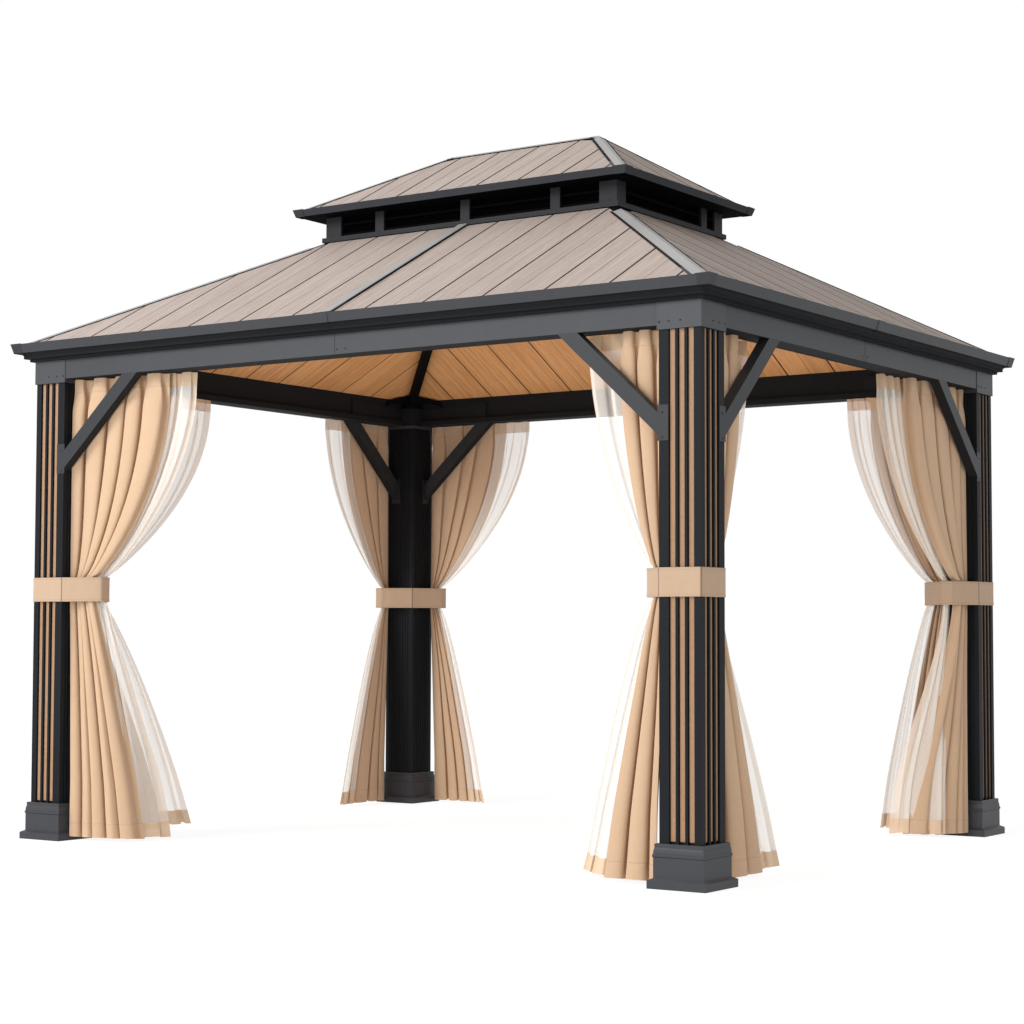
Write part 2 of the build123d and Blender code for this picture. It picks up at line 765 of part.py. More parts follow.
def across_post(name):
    """Where the curtains of a post start behind the beam's outer face, and how deep they are."""
    if name == TUCKED_CORNER:
        return post_inset, tucked_curtain_depth
    return brace_setback + brace_thickness + brace_gap, curtain_depth


def curtain(corner, along_x, reach, start, depth):
    """Closed outer shape of one gathered curtain beside its post."""
    top_reach, waist_reach, hem_reach = reach
    top = head_height - curtain_gap
    shoulder = (near + waist_reach + (top_reach - waist_reach) * shoulder_share,
                tie_top + (top - tie_top) * shoulder_height)
    skirt = (near + waist_reach + (hem_reach - waist_reach) * skirt_share,
             hem_height + (tie_height - hem_height) * skirt_height)
    plane, depth_sign = bay_plane(corner, along_x)
    with BuildPart() as cloth:
        with BuildSketch(plane.offset(depth_sign * start)):
            with BuildLine():
                Polyline((near, top), (near + top_reach, top))
                waist_top = Vector(near + waist_reach, tie_top)
                Spline((near + top_reach, top), shoulder, waist_top,
                       tangents=[(0, -1), (waist_top - Vector(*shoulder)).normalized()])
                Line((near + waist_reach, tie_top), (near + waist_reach, tie_height))
                Spline((near + waist_reach, tie_height), skirt, (near + hem_reach, hem_height))
                Polyline((near + hem_reach, hem_height), (boot_far, hem_height), (boot_far, boot_flare_foot),
                         (near, boot_flare_top), (near, top))
            make_face()
        extrude(amount=depth_sign * depth)
    return cloth.part


for name, corner in CORNERS.items():
    start, depth = across_post(name)
    x_reach, y_reach = CURTAIN_REACH[name]
    with BuildPart() as curtains:
        add(curtain(corner, True, x_reach, start, depth))
        add(curtain(corner, False, y_reach, start, depth))
    save(curtains.part, f"curtains_{name}")

# Tie bands: a fabric loop round each post and its two curtains

for name, corner in CORNERS.items():
    start, depth = across_post(name)
    x_waist = near + CURTAIN_REACH[name][0][1] + tie_slack
    y_waist = near + CURTAIN_REACH[name][1][1] + tie_slack
    outline = [
        (post_inset, post_inset),
        (post_far, post_inset),
        (x_waist, start),
        (x_waist, start + depth),
        (start + depth, y_waist),
        (start, y_waist),
        (post_inset, post_far),
    ]
    if name == TUCKED_CORNER:
        outline.insert(4, (post_far, post_far))
    with BuildPart() as tie:
        with BuildSketch(Plane.XY.offset(tie_height)):
            with BuildLine():
                Polyline(*[inward(corner, along, across) for along, across in outline], close=True)
            make_face()
            offset(amount=tie_gap + tie_thickness)
            offset(amount=-tie_thickness, mode=Mode.SUBTRACT)
        extrude(amount=tie_width)
    save(tie.part, f"tie_band_{name}")
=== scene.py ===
"""Looks of a metal gazebo: finishes, roof boards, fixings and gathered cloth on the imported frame."""
from math import cos, pi, sin, sqrt

import bmesh
import bpy
import numpy as np
from mathutils import Matrix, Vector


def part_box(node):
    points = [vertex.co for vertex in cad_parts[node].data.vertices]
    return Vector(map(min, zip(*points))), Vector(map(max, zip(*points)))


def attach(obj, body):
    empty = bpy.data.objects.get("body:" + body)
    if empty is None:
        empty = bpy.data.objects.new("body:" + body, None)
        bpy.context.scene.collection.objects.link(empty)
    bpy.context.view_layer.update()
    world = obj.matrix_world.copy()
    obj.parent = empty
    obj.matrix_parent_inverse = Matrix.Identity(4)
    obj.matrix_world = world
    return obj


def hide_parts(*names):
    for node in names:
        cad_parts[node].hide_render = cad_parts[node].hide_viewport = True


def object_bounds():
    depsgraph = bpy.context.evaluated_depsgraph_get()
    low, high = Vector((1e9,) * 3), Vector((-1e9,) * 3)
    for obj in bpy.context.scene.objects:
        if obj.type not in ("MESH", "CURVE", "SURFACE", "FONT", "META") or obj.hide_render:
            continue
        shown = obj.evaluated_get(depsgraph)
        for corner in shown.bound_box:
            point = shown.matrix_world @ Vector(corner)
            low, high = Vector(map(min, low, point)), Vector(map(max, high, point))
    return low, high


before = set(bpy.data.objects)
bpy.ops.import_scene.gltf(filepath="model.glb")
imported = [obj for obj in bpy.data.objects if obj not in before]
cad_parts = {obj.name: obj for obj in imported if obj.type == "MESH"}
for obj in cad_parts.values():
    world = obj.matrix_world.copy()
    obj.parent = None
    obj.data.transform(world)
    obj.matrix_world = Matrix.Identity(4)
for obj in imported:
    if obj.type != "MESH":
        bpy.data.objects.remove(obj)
cad_low, cad_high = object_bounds()

# Photograph's view
LENS = 75.93
CAMERA_PLACE = (5.66491, -8.39574, 0.94771)
CAMERA_YAW = 0.59836
CAMERA_PITCH = 0.05547
CAMERA_ROLL = 0.00275

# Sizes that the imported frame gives
ROOF_SHEET = 0.020
LOWER_LOW, LOWER_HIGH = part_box("roof_front")
SIDE_LOW, SIDE_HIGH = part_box("roof_right")
EAVE_X = SIDE_HIGH.x
EAVE_Y = -LOWER_LOW.y
EAVE_Z = LOWER_LOW.z + ROOF_SHEET
VENT_X = SIDE_LOW.x
VENT_Y = -LOWER_HIGH.y
VENT_Z = LOWER_HIGH.z
ROOF_SLOPE = (LOWER_HIGH.z - EAVE_Z) / (EAVE_Y - VENT_Y)
UPPER_FRONT_LOW, UPPER_FRONT_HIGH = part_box("upper_roof_front")
UPPER_SIDE_LOW, UPPER_SIDE_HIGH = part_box("upper_roof_right")
SHELL_X = UPPER_SIDE_HIGH.x
SHELL_Y = -UPPER_FRONT_LOW.y
SHELL_Z = UPPER_SIDE_LOW.z + ROOF_SHEET
RIDGE_X = UPPER_SIDE_LOW.x
RIDGE_Z = UPPER_FRONT_HIGH.z
BEAM_LOW, BEAM_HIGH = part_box("beam_front")
BEAM_X = BEAM_HIGH.x
BEAM_Y = -BEAM_LOW.y
HEAD_Z = BEAM_LOW.z
BOOT_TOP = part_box("boot_front_left")[1].z
TIE_LOW, TIE_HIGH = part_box("tie_band_front_left")
TIE_Z = TIE_LOW.z
TIE_TOP = TIE_HIGH.z

# Boards, seams and caps
BEAM_THICKNESS = 0.090
GUTTER_FACE_Z = 2.2255
CORNER_COVER = 0.060
BOARD_RISE = 0.003
LOWER_BOARD = 0.1475
LOWER_FIRST_SEAM = 0.195
SIDE_FIRST_SEAM = 0.080
UPPER_BOARD = 0.1134
CEILING_BOARD = 0.130
DEEP_SEAM = 0.0055
FINE_SEAM = 0.0022
CURB_REACH = 0.014
HIP_CAP = 0.076
UPPER_CAP = 0.058
RIDGE_CAP = 0.060
MID_BATTEN = 0.046
CAP_RISE = 0.004
BATTEN_RISE = 0.014
BROAD_HEM = 0.013
NARROW_HEM = 0.005
HEM_RISE = 0.0025

# Printed and painted patterns, in cells per metre along each axis
FINE_STREAKS = (420.0, 9.0, 420.0)
BROAD_STREAKS = (60.0, 1.6, 60.0)
PORES = (900.0, 30.0, 900.0)
CLOUDS = 2.3
RUNS = (26.0, 26.0, 1.2)
SPECKS = 160.0
PEEL = 700.0
YARN_ALONG = (900.0, 18.0, 1.0)
YARN_ACROSS = (18.0, 900.0, 1.0)
MOTTLES = 5.0

# Rivets
RIVET_RADIUS = 0.0042
RIVET_HEIGHT = 0.0024
COVER_RIVETS = (0.088, 0.138, 0.179)
PLATE_RIVETS = (1.678, 1.772)
COVER_THICKNESS = 0.0025

# Cloth
CURTAIN_PITCH = 0.0011
NET_PITCH = 0.0012
STITCH_LENGTH = 0.006
POST_INSET = 0.004
POST_FAR = 0.184
POST_MIDDLE = 0.094
CLOTH_NEAR = 0.1903
BOOT_FAR = 0.2193
BOOT_FLARE_HIGH = 0.260
CLOTH_TOP = HEAD_Z - 0.0005
HEM_Z = 0.012
HEADER = 0.060
HEM = 0.068
BORDER = 0.028
BAND_SEAM = 0.009
FOLD_LENGTH = 0.145
NET_FOLD_LENGTH = 0.11
NET_OVERLAP = 0.070
TUCKED = "rear_left"

# Distance of a bundle's middle from the beam's outer face, and the swing of its folds: curtain, net
FREE_PLACE = ((0.070, 0.021), (0.112, 0.009))
TUCKED_PLACE = ((0.019, 0.013), (0.036, 0.005))
# Share by which the folds swing more away from the tie, and how much further in they hang there
FREE_LOOSE = (0.45, 0.010)
TUCKED_LOOSE = (0.0, 0.0)
# Outer line and depth of a tie's loop beside the post
FREE_TIE = (0.050, 0.072)
TUCKED_TIE = (0.004, 0.038)
TIE_ROOM = 0.006
TIE_THICKNESS = 0.002

# Light
FLOOR_HALF = 40.0
SEEN_FLOOR = (0.26, 0.87)
UNSEEN_FLOOR = (0.70, 0.35)
SEEN_WORLD = 1.0
UNSEEN_WORLD = 0.53

CORNERS = {
    "front_left": (-1, -1),
    "front_right": (1, -1),
    "rear_left": (-1, 1),
    "rear_right": (1, 1),
}

# Reach of each cloth from its post at the top, the waist and the hem, and how far its leading edge
# turns into the gazebo at the hem: thick curtain, then net. The first of a pair hangs along the long
# beam, the second along the short one.
CLOTH_REACH = {
    "front_left": (((0.56, 0.135, 0.32, 0.07), (0.695, 0.165, 0.34, 0.20)),
                   ((0.66, 0.11, 0.36, 0.15), (0.86, 0.14, 0.68, 0.03))),
    "front_right": (((0.215, 0.055, 0.25, 0.0), (0.385, 0.08, 0.50, 0.20)),
                    ((0.25, 0.04, 0.38, 0.0), (0.41, 0.055, 0.63, 0.0))),
    "rear_left": (((0.52, 0.06, 0.30, 0.0), (0.68, 0.085, 0.38, 0.03)),
                  ((0.44, 0.055, 0.35, 0.0), (0.59, 0.08, 0.45, 0.03))),
    "rear_right": (((0.40, 0.075, 0.22, 0.03), (0.51, 0.10, 0.30, 0.03)),
                   ((0.62, 0.10, 0.19, 0.17), (0.84, 0.14, 0.20, 0.22))),
}


class Tree:
    """A node tree that is filled with short calls."""

    def __init__(self, tree):
        self.tree = tree

    def node(self, kind, values=None, **settings):
        """A node of a kind, with settings, and with its inputs set or linked."""
        made = self.tree.nodes.new(kind)
        for name, setting in settings.items():
            setattr(made, name, setting)
        for socket, value in (values or {}).items():
            if isinstance(value, bpy.types.NodeSocket):
                self.tree.links.new(value, made.inputs[socket])
            else:
                made.inputs[socket].default_value = value
        return made

    def group(self, group, values):
        """Outputs of a node that stands for a group, with its inputs set or linked."""
        return self.node("ShaderNodeGroup", values, node_tree=group).outputs

    def feed(self, shader, **outputs):
        """Links outputs to the shader's sockets. An underscore stands for a space."""
        for socket, output in outputs.items():
            self.tree.links.new(output, shader.inputs[socket.replace("_", " ")])

    def math(self, operation, *values):
        return self.node("ShaderNodeMath", dict(enumerate(values)), operation=operation).outputs[0]

    def clamp(self, value):
        return self.node("ShaderNodeClamp", {0: value}).outputs[0]

    def times(self, first, second):
        return self.math("MULTIPLY", first, second)

    def times_plus(self, first, second, third):
        return self.math("MULTIPLY_ADD", first, second, third)

    def plus(self, first, second):
        return self.math("ADD", first, second)

    def minus(self, first, second):
        return self.math("SUBTRACT", first, second)

    def rest(self, value):
        """1 minus a value."""
        return self.minus(1.0, value)

    def size(self, value):
        return self.math("ABSOLUTE", value)

    def larger(self, first, second):
        return self.math("MAXIMUM", first, second)

    def below(self, value, limit):
        return self.math("LESS_THAN", value, limit)

    def above(self, value, limit):
        return self.math("GREATER_THAN", value, limit)

    def mix(self, factor, first, second):
        values = {"Factor": factor, 6: first, 7: second}
        return self.node("ShaderNodeMix", values, data_type="RGBA").outputs[2]

    def blend(self, factor, first, second):
        values = {"Factor": factor, 2: first, 3: second}
        return self.node("ShaderNodeMix", values, data_type="FLOAT").outputs[0]

    def scaled(self, vector, factors):
        values = {0: vector, 1: factors}
        return self.node("ShaderNodeVectorMath", values, operation="MULTIPLY").outputs[0]

    def noise(self, vector, scale, detail=2.0, roughness=0.5):
        values = {"Vector": vector, "Scale": scale, "Detail": detail, "Roughness": roughness}
        return self.node("ShaderNodeTexNoise", values).outputs["Fac"]

    def band(self, value, low, high):
        """Rises from 0 at low to 1 at high, smoothly."""
        values = {"Value": value, "From Min": low, "From Max": high}
        return self.node("ShaderNodeMapRange", values, interpolation_type="SMOOTHSTEP").outputs[0]

    def parts(self, vector):
        split = self.node("ShaderNodeSeparateXYZ", {0: vector})
        return split.outputs[0], split.outputs[1], split.outputs[2]

    def vector(self, x, y, z):
        return self.node("ShaderNodeCombineXYZ", {0: x, 1: y, 2: z}).outputs[0]

    def seen(self):
        """1 for rays from the camera, also mirrored or let through, and 0 for others."""
        paths = self.node("ShaderNodeLightPath").outputs
        mirrored = self.larger(paths["Is Glossy Ray"], paths["Is Transmission Ray"])
        return self.larger(paths["Is Camera Ray"], mirrored)


def new_group(name, inputs, outputs):
    """An empty node group with named sockets, its tree and the sockets of its inputs."""
    made = bpy.data.node_groups.new(name, "ShaderNodeTree")
    for socket, kind, value in inputs:
        item = made.interface.new_socket(socket, in_out="INPUT", socket_type=kind)
        if value is not None:
            item.default_value = value
    for socket, kind in outputs:
        made.interface.new_socket(socket, in_out="OUTPUT", socket_type=kind)
    tree = Tree(made)
    return made, tree, tree.node("NodeGroupInput").outputs


def close_group(tree, results):
    """Ends a group with what it gives out."""
    tree.node("NodeGroupOutput", results)


COLOUR, VALUE, VECTOR = "NodeSocketColor", "NodeSocketFloat", "NodeSocketVector"


def make_grain_group():
    """Wood-look print: streaks along Y, a tint for each board across X, dark at the seams between
    boards, deep and fine by turns, and the streaks' height."""
    inputs = [("Vector", VECTOR, None), ("Light", COLOUR, (1, 1, 1, 1)), ("Dark", COLOUR, (0, 0, 0, 1)),
              ("Board", VALUE, 0.15), ("Tint", VALUE, 0.1), ("Deep", VALUE, 0.0),
              ("Fine", VALUE, 0.0), ("Seam", VALUE, 0.003)]
    made, t, given = new_group("wood_grain", inputs, [("Color", COLOUR), ("Height", VALUE)])
    across, along, up = t.parts(given["Vector"])
    boards_across = t.math("DIVIDE", across, given["Board"])
    number = t.vector(t.math("FLOOR", boards_across), up, 0.0)
    tone = t.node("ShaderNodeTexWhiteNoise", {"Vector": number}).outputs["Value"]
    moved = t.vector(across, t.times_plus(tone, 7.0, along), up)
    fine = t.noise(t.scaled(moved, FINE_STREAKS), 1.0, 3.0, 0.6)
    broad = t.noise(t.scaled(moved, BROAD_STREAKS), 1.0, 2.0)
    pores = t.band(t.noise(t.scaled(moved, PORES), 1.0, 1.0), 0.60, 0.74)
    mixed = t.plus(t.times(fine, 0.6), t.times(broad, 0.4))
    shade = t.band(mixed, 0.36, 0.66)
    toned = t.times_plus(t.minus(tone, 0.5), given["Tint"], shade)
    streaks = t.minus(toned, t.times(pores, 0.25))
    colour = t.mix(t.clamp(streaks), given["Dark"], given["Light"])
    nearest = t.math("ROUND", boards_across)
    off = t.times(t.size(t.minus(boards_across, nearest)), given["Board"])
    odd = t.size(t.minus(nearest, t.times(t.math("ROUND", t.times(nearest, 0.5)), 2.0)))
    past = t.minus(off, given["Seam"])
    deep = t.times(t.rest(t.band(past, 0.0, 0.003)), given["Deep"])
    thin = t.times(t.rest(t.band(off, 0.0010, 0.0030)), given["Fine"])
    line = t.blend(t.band(odd, 0.4, 0.6), deep, thin)
    lined = t.mix(line, colour, (0.012, 0.010, 0.009, 1))
    close_group(t, {"Color": lined, "Height": streaks})
    return made


def inside_box(t, x, y, z, half, margin, low, high):
    """1 inside a box about the middle, short of its sides by a margin, and 0 elsewhere."""
    within_x = t.minus(half[0] - margin, t.size(x))
    within_y = t.minus(half[1] - margin, t.size(y))
    plan = t.above(t.math("MINIMUM", within_x, within_y), 0.0)
    heights = t.times(t.above(z, low), t.below(z, high))
    return t.times(plan, heights)


def make_coat_group():
    """Powder coat: fine orange peel, soft clouding, dust that lies on what faces upwards, and painted
    shade: a darker tone painted on what faces down, on the inner sides under the roof and in the vent,
    and below a given height."""
    inputs = [("Vector", VECTOR, None), ("Colour", COLOUR, (0.05, 0.05, 0.05, 1)),
              ("Dust", COLOUR, (0.3, 0.28, 0.25, 1)), ("Dust Amount", VALUE, 0.3),
              ("Roughness", VALUE, 0.45), ("Painted Shade", VALUE, 0.6), ("Painted Shade Below", VALUE, -1.0),
              ("Corners", VALUE, 0.0)]
    outputs = [("Color", COLOUR), ("Roughness", VALUE), ("Height", VALUE)]
    made, t, given = new_group("powder_coat", inputs, outputs)
    cloud = t.noise(given["Vector"], CLOUDS, 3.0)
    run = t.noise(t.scaled(given["Vector"], RUNS), 1.0, 2.0)
    speck = t.noise(given["Vector"], SPECKS, 2.0)
    up = t.parts(t.node("ShaderNodeNewGeometry").outputs["Normal"])[2]
    lying = t.times(t.band(up, 0.35, 0.95), t.band(cloud, 0.3, 0.75))
    dust = t.times(lying, given["Dust Amount"])
    shade = t.times_plus(cloud, 0.22, t.times_plus(run, 0.12, 0.82))
    # Painted shade: the coat is painted darker on faces turned down, on inner faces under the eaves and
    # in the vent, and below a given height, by the share that the material gives, and made rougher
    # there.
    down = t.band(t.times(up, -1.0), 0.2, 0.8)
    x, y, z = t.parts(given["Vector"])
    split = VENT_Z - 0.025
    eave = inside_box(t, x, y, z, (BEAM_X, BEAM_Y), BEAM_THICKNESS * 0.6, HEAD_Z + 0.001, split)
    vent = inside_box(t, x, y, z, (VENT_X, VENT_Y), 0.012, split, RIDGE_Z)
    low = t.times(t.below(z, given["Painted Shade Below"]), 0.9)
    painted_shade_mask = t.larger(t.larger(down, low), t.larger(t.times(eave, 0.9), vent))
    shown = t.rest(t.times(painted_shade_mask, given["Painted Shade"]))
    past_x = t.above(t.size(x), cad_high.x - CORNER_COVER)
    past_y = t.above(t.size(y), cad_high.y - CORNER_COVER)
    corner = t.times(t.times(past_x, past_y), given["Corners"])
    kept = t.times(shown, t.rest(corner))
    shade = t.times(shade, kept)
    tone = t.scaled(given["Colour"], t.vector(shade, shade, shade))
    colour = t.mix(dust, tone, given["Dust"])
    rough = t.times_plus(t.minus(speck, 0.5), 0.16, given["Roughness"])
    rougher = t.blend(t.times(painted_shade_mask, given["Painted Shade"]), t.times_plus(dust, 0.3, rough), 1.0)
    peel = t.noise(given["Vector"], PEEL, 1.0)
    close_group(t, {"Color": colour, "Roughness": rougher, "Height": peel})
    return made


def make_weave_group():
    """Plain weave: raised warp and weft threads at a pitch in metres, with slubs in the yarn."""
    inputs = [("Vector", VECTOR, None), ("Pitch", VALUE, 0.0009)]
    outputs = [("Height", VALUE), ("Slub", VALUE), ("Mottle", VALUE)]
    made, t, given = new_group("plain_weave", inputs, outputs)
    across, along, _ = t.parts(given["Vector"])
    turn = t.math("DIVIDE", pi, given["Pitch"])
    warp = t.size(t.math("SINE", t.times(across, turn)))
    weft = t.size(t.math("SINE", t.times(along, turn)))
    threads = t.plus(warp, weft)
    lengthwise = t.noise(t.scaled(given["Vector"], YARN_ALONG), 1.0, 2.0)
    crosswise = t.noise(t.scaled(given["Vector"], YARN_ACROSS), 1.0, 2.0)
    slub = t.times_plus(t.plus(lengthwise, crosswise), 1.0, -1.0)
    mottle = t.noise(given["Vector"], MOTTLES, 3.0)
    close_group(t, {"Height": threads, "Slub": slub, "Mottle": mottle})
    return made


def make_stitch_group():
    """A row of stitches: dashes of a length along the seam, within half a thread of its line."""
    inputs = [("Distance", VALUE, 0.0), ("Along", VALUE, 0.0), ("Line", VALUE, 0.06)]
    made, t, given = new_group("stitch_row", inputs, [("Thread", VALUE), ("Pucker", VALUE)])
    off = t.size(t.minus(given["Distance"], given["Line"]))
    line = t.rest(t.band(off, 0.0006, 0.0014))
    dash = t.band(t.math("SINE", t.times(given["Along"], 2 * pi / STITCH_LENGTH)), -0.5, 0.1)
    pucker = t.rest(t.band(off, 0.0, 0.006))
    close_group(t, {"Thread": t.times(line, dash), "Pucker": pucker})
    return made


GRAIN = make_grain_group()
COAT = make_coat_group()
WEAVE = make_weave_group()
STITCH = make_stitch_group()


def srgb(colour):
    """Linear colour of a screen colour with 255 as full."""
    parts = np.array(colour) / 255.0
    linear = np.where(parts <= 0.04045, parts / 12.92, ((parts + 0.055) / 1.055) ** 2.4)
    return (*linear.tolist(), 1.0)


def empty_tree(owner):
    """The node tree of a material or a world, emptied and ready for short calls."""
    owner.use_nodes = True
    owner.node_tree.nodes.clear()
    return Tree(owner.node_tree)


def new_material(name, **values):
    """A material with one Principled shader whose own sockets hold the values, its tree, and that
    shader. An underscore stands for a space."""
    made = bpy.data.materials.new(name)
    tree = empty_tree(made)
    shader = tree.node("ShaderNodeBsdfPrincipled")
    for socket, value in values.items():
        shader.inputs[socket.replace("_", " ")].default_value = value
    tree.node("ShaderNodeOutputMaterial", {"Surface": shader.outputs[0]})
    return made, tree, shader


def bump(tree, shader, height, distance, strength=1.0):
    """Feeds a height in metres to the shader's normal."""
    values = {"Height": height, "Distance": distance, "Strength": strength}
    tree.feed(shader, Normal=tree.node("ShaderNodeBump", values).outputs[0])


def coat_material(name, colour, dust, dust_amount, roughness, metallic=0.0, specular=0.2,
                  under=0.85, painted_shade_below=-1.0, corners=0.0):
    """Powder-coated metal, with painted shade: the share given is how much darker it is painted on
    faces turned down, on inner faces under the roof and in the vent, and below a given height.
    """
    made, t, shader = new_material(name, Metallic=metallic, Specular_IOR_Level=specular)
    place = t.node("ShaderNodeTexCoord").outputs["Object"]
    coat = t.group(COAT, {
        "Vector": place, "Colour": srgb(colour), "Dust": srgb(dust), "Dust Amount": dust_amount,
        "Roughness": roughness, "Painted Shade": under, "Painted Shade Below": painted_shade_below, "Corners": corners})
    t.feed(shader, Base_Color=coat["Color"], Roughness=coat["Roughness"])
    bump(t, shader, coat["Height"], 0.0002, 0.35)
    return made


def wood_material(name, light, dark, board, tint, roughness, object_axes=None, deep=0.0, fine=0.0,
                  seam=0.003):
    """Printed boards. The pattern follows the UV map, or the object's place where axes are given."""
    made, t, shader = new_material(name, Roughness=roughness, Specular_IOR_Level=0.2)
    coordinates = t.node("ShaderNodeTexCoord")
    if object_axes:
        x, y, z = t.parts(coordinates.outputs["Object"])
        axes = {"x": x, "y": y, "z": z, "x+y": t.plus(x, y)}
        vector = t.vector(*[axes[axis] for axis in object_axes])
    else:
        vector = coordinates.outputs["UV"]
    grain = t.group(GRAIN, {
        "Vector": vector, "Light": srgb(light), "Dark": srgb(dark), "Board": board, "Tint": tint,
        "Deep": deep, "Fine": fine, "Seam": seam})
    t.feed(shader, Base_Color=grain["Color"])
    bump(t, shader, grain["Height"], 0.0004, 0.4)
    return made


def cloth_colour(t, base, shade, pitch):
    """Woven colour, its height, and the coordinates that the seams use."""
    coordinates = t.node("ShaderNodeTexCoord").outputs["UV"]
    weave = t.group(WEAVE, {"Vector": coordinates, "Pitch": pitch})
    slubs = t.times(weave["Slub"], 0.9)
    mottle = t.times_plus(weave["Mottle"], 0.5, slubs)
    factor = t.clamp(t.plus(mottle, 0.15))
    return t.mix(factor, srgb(shade), srgb(base)), weave["Height"], coordinates


def border_parts(t):
    """Distances in metres from a cloth's leading edge and from its hem."""
    borders = t.node("ShaderNodeUVMap", uv_map="Borders").outputs[0]
    return t.parts(borders)[:2]


def seams(t, colour, thread, rows):
    """Stitch rows laid over a cloth: its colour with the threads, and how much each place puckers."""
    pucker = 0.0
    for distance, along, line in rows:
        row = t.group(STITCH, {"Distance": distance, "Along": along, "Line": line})
        colour = t.mix(t.times(row["Thread"], 0.55), colour, srgb(thread))
        pucker = t.plus(row["Pucker"], pucker)
    return colour, pucker


def cloth_material(name, base, shade, translucent, band=False):
    """Thick woven cloth. A curtain lets some light through, and its header, hem and leading edge are
    sewn down. A band is sewn along both of its edges, and painted darker as shade along the post's
    corners, where it creases."""
    made, t, shader = new_material(name, Roughness=0.85, Specular_IOR_Level=0.2, Sheen_Weight=0.15,
                                   Sheen_Roughness=0.5)
    colour, height, coordinates = cloth_colour(t, base, shade, CURTAIN_PITCH)
    total = t.times(height, 0.00012)
    across, down, _ = t.parts(coordinates)
    if band:
        from_top = t.minus(TIE_TOP - TIE_Z, down)
        rows = ((down, across, BAND_SEAM), (from_top, across, BAND_SEAM))
        # Painted shade: the band is painted dark brown along the post's corners, where it creases round
        # them.
        crease_shade = t.rest(t.band(border_parts(t)[0], 0.0012, 0.0045))
        colour = t.mix(t.times(crease_shade, 0.6), colour, srgb((84, 62, 44)))
    else:
        edge, rise = border_parts(t)
        rows = ((down, across, HEADER), (rise, across, HEM), (edge, down, BORDER * 0.8))
    colour, pucker = seams(t, colour, (150, 118, 88), rows)
    total = t.minus(total, t.times(pucker, 0.0012))
    t.feed(shader, Base_Color=colour)
    bump(t, shader, total, 1.0, 0.8)
    if translucent:
        through = t.node("ShaderNodeBsdfTranslucent", {"Color": colour})
        both = {0: translucent, 1: shader.outputs[0], 2: through.outputs[0]}
        mixed = t.node("ShaderNodeMixShader", both)
        output = next(node for node in t.tree.nodes if node.type == "OUTPUT_MATERIAL")
        t.feed(output, Surface=mixed.outputs[0])
    return made


def net_material(name, base, trim, clear, trimmed):
    """Fine net: mostly open between its threads, and closer where header, hem and edge are sewn on."""
    made, t, shader = new_material(name, Roughness=0.9, Specular_IOR_Level=0.1)
    coordinates = t.node("ShaderNodeTexCoord").outputs["UV"]
    across, down, _ = t.parts(coordinates)
    edge, rise = border_parts(t)
    weave = t.group(WEAVE, {"Vector": coordinates, "Pitch": NET_PITCH})
    header, hem, border = [
        t.rest(t.band(distance, width - 0.001, width + 0.001))
        for distance, width in ((down, HEADER), (rise, HEM), (edge, BORDER))]
    sewn = t.larger(header, hem)
    trims = t.larger(sewn, t.times(border, 0.45))
    colour = t.mix(trims, srgb(base), srgb(trim))
    rows = ((down, across, HEADER), (rise, across, HEM), (edge, down, BORDER))
    colour, pucker = seams(t, colour, (186, 150, 116), rows)
    open_share = t.times_plus(weave["Slub"], 0.10, clear)
    alpha = t.blend(t.times(border, 0.5), open_share, trimmed)
    closed = t.blend(hem, t.blend(header, alpha, trimmed), 0.93)
    t.feed(shader, Base_Color=colour, Alpha=closed)
    total = t.times_plus(weave["Height"], 0.0001, t.times(pucker, -0.001))
    bump(t, shader, total, 1.0, 0.5)
    return made


frame_coat = coat_material("dark_powder_coat", (60, 62, 66), (120, 120, 122), 0.25, 0.42)
# Painted shade: the posts and braces get darker copies of the same dark powder coat, to show them in
# shade.
post_coat_painted_shade = coat_material("post_painted_shade_coat", (30, 32, 35), (70, 70, 72), 0.2, 0.45, specular=0.06)
brace_coat_painted_shade = coat_material("brace_painted_shade_coat", (46, 48, 51), (90, 90, 92), 0.2, 0.42, under=0.55)
# Painted shade: the gutter's cornice below its face is painted near black, to show the shade under the
# gutter.
gutter_coat = coat_material("gutter_powder_coat", (58, 60, 64), (110, 110, 112), 0.2, 0.42,
                            painted_shade_below=GUTTER_FACE_Z, corners=0.35)
# Painted shade: the upper eave and the vent are painted almost black where the coat group lays shade,
# and the vent is a darker copy of the coat too.
eave_coat_painted_shade = coat_material("upper_eave_painted_shade_coat", (58, 60, 64), (110, 110, 112), 0.2, 0.5,
                          specular=0.05, under=0.97)
vent_coat_painted_shade = coat_material("vent_painted_shade_coat", (40, 41, 44), (70, 70, 72), 0.1, 0.5,
                          specular=0.1, under=0.97)
# Painted light: the post heads' covers get a lighter copy of the dark powder coat, to look more
# brightly lit.
cover_coat_painted_light = coat_material("cover_painted_light_coat", (66, 68, 72), (120, 120, 122), 0.2, 0.42)
# Painted shade: the rafters get a near-black copy of the powder coat, to show the shade under the roof.
rafter_coat_painted_shade = coat_material("rafter_painted_shade_coat", (30, 30, 31), (60, 60, 60), 0.1, 0.5, specular=0.1)
# Painted reflection: the caps' light grey stands in for the bright sky mirrored in a darker satin cap.
cap_coat_painted_reflection = coat_material("grey_cap_painted_reflection_coat", (166, 165, 164), (188, 186, 184), 0.2, 0.46, under=0.0)
# Partly painted shade: the dark hem coat gives the caps' folded edges and also paints the shade along
# their raised sides.
hem_coat_and_shade = coat_material("cap_hem_and_shade_coat", (44, 44, 46), (70, 70, 70), 0.1, 0.5)
seam_dark = coat_material("seam_shadow", (24, 24, 26), (40, 40, 40), 0.1, 0.7)
fixing_coat = coat_material("fixing_coat", (44, 46, 50), (120, 120, 120), 0.2, 0.35, metallic=0.3)
